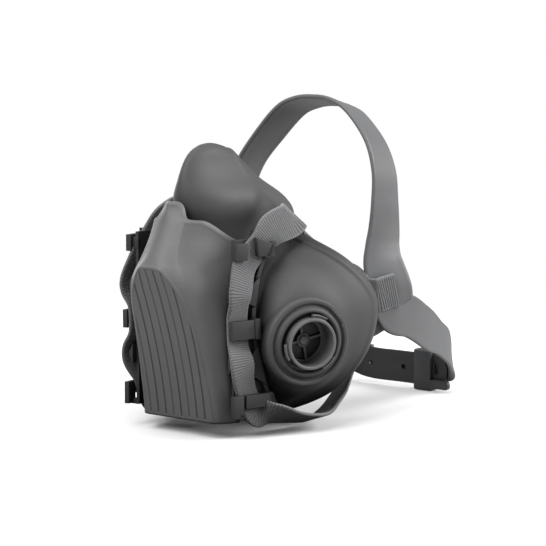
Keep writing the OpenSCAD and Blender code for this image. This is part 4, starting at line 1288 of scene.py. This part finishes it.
def direction(turn, rise):
    """Direction from the part for a turn from the front and a rise, both in degrees."""
    turn, rise = math.radians(turn), math.radians(rise)
    return Vector((math.sin(turn) * math.cos(rise), -math.cos(turn) * math.cos(rise), math.sin(rise)))


def aimed(name, data, way, far):
    """New light or camera that far off, looking at the aim."""
    obj = bpy.data.objects.new(name, data)
    bpy.context.scene.collection.objects.link(obj)
    obj.location = AIM + far * way
    obj.rotation_euler = (-way).to_track_quat("-Z", "Y").to_euler()
    return obj


def vector_node(tree, operation, *values):
    node = tree.nodes.new("ShaderNodeVectorMath")
    node.operation = operation
    for value, socket in zip(values, node.inputs):
        if isinstance(value, tuple):
            socket.default_value = value
        else:
            tree.links.new(value, socket)
    return node.outputs["Value"]


def floor_paper():
    """Floor finish: white to the camera, dim to other rays under the part, clear far out."""
    finish, tree, bsdf = new_material("floor_paper")
    fill(tree, bsdf, {"Roughness": 0.9, "Specular IOR Level": 0.0})
    light_path = tree.nodes.new("ShaderNodeLightPath")
    place = tree.nodes.new("ShaderNodeTexCoord").outputs["Object"]
    sunny = band_node(tree, vector_node(tree, "DISTANCE", place, (0.0, -0.045, 0.0)), 0.075, 0.13)
    bounce = mixed(tree, sunny, (0.05, 0.05, 0.05), (0.6, 0.6, 0.6))
    tone = mixed(tree, light_path.outputs["Is Camera Ray"], bounce, (0.85, 0.85, 0.85))
    feed(tree, tone, bsdf.inputs["Base Color"])
    clear = tree.nodes.new("ShaderNodeBsdfTransparent")
    faded = tree.nodes.new("ShaderNodeMixShader")
    feed(tree, band_node(tree, vector_node(tree, "LENGTH", place), 0.22, 0.42), faded.inputs[0])
    tree.links.new(bsdf.outputs[0], faded.inputs[1])
    tree.links.new(clear.outputs[0], faded.inputs[2])
    tree.links.new(faded.outputs[0], tree.nodes["Material Output"].inputs["Surface"])
    return finish


class RESPIRATOR_OT_stage(bpy.types.Operator):
    """White floor, soft studio light and the camera"""

    bl_idname = "respirator.stage"
    bl_label = "Stage"

    def execute(self, context):
        scene = bpy.context.scene
        scene.view_settings.view_transform = "Standard"
        mesh = bpy.data.meshes.new("studio_floor")
        half, sunk = 4, -0.2 * MM
        mesh.from_pydata([(x, y, sunk) for x, y in oblong(-half, -half, half, half)], [], [(0, 1, 2, 3)])
        mesh.materials.append(floor_paper())
        floor = bpy.data.objects.new("studio_floor", mesh)
        scene.collection.objects.link(floor)

        scene.world = bpy.data.worlds.new("studio_air")
        scene.world.use_nodes = True
        air = scene.world.node_tree
        sky = air.nodes["Background"]
        path = air.nodes.new("ShaderNodeLightPath")
        level = mixed(air, path.outputs["Is Camera Ray"], (0.16, 0.16, 0.162), (1.0, 1.0, 1.0))
        feed(air, level, sky.inputs["Color"])
        sky.inputs["Strength"].default_value = 1.0

        for name, turn, rise, far, size, power in SOFTBOXES:
            light = bpy.data.lights.new(name, "AREA")
            light.shape = "RECTANGLE"
            light.size = size
            light.size_y = size
            light.energy = power
            aimed(name, light, direction(turn, rise), far)

        camera = bpy.data.cameras.new("photo_camera")
        camera.sensor_width = 36
        camera.lens = CAMERA_LENS
        camera.clip_end = 50
        scene.camera = aimed("photo_camera", camera, direction(CAMERA_TURN, CAMERA_RISE), CAMERA_FAR)
        return {"FINISHED"}


class RESPIRATOR_PT_panel(bpy.types.Panel):
    """Lists the pieces and the sizes and colours that they use"""

    bl_idname = "RESPIRATOR_PT_panel"
    bl_label = "Respirator"
    bl_space_type = "VIEW_3D"
    bl_region_type = "UI"
    bl_category = "Respirator"

    def draw(self, context):
        for group in (context.scene.respirator_sizes, context.scene.respirator_colours):
            for name in group.__annotations__:
                self.layout.prop(group, name)
        for operator in OPERATORS:
            self.layout.operator(operator.bl_idname)


OPERATORS = (
    RESPIRATOR_OT_stage, RESPIRATOR_OT_facepiece, RESPIRATOR_OT_front_cover, RESPIRATOR_OT_inlets,
    RESPIRATOR_OT_valves, RESPIRATOR_OT_strap_frames, RESPIRATOR_OT_webbing, RESPIRATOR_OT_head_cradle,
    RESPIRATOR_OT_neck_strap, RESPIRATOR_OT_buckle)
CLASSES = (RespiratorSizes, RespiratorColours, *OPERATORS, RESPIRATOR_PT_panel)


def register():
    for cls in CLASSES:
        bpy.utils.register_class(cls)
    bpy.types.Scene.respirator_sizes = bpy.props.PointerProperty(type=RespiratorSizes)
    bpy.types.Scene.respirator_colours = bpy.props.PointerProperty(type=RespiratorColours)


def unregister():
    del bpy.types.Scene.respirator_colours
    del bpy.types.Scene.respirator_sizes
    for cls in reversed(CLASSES):
        bpy.utils.unregister_class(cls)


def main():
    register()
    bpy.ops.respirator.stage()
    bpy.ops.respirator.facepiece()
    bpy.ops.respirator.front_cover()
    bpy.ops.respirator.inlets()
    bpy.ops.respirator.valves()
    bpy.ops.respirator.strap_frames()
    bpy.ops.respirator.webbing()
    bpy.ops.respirator.head_cradle()
    bpy.ops.respirator.neck_strap()
    bpy.ops.respirator.buckle()


if __name__ == "__main__":
    main()
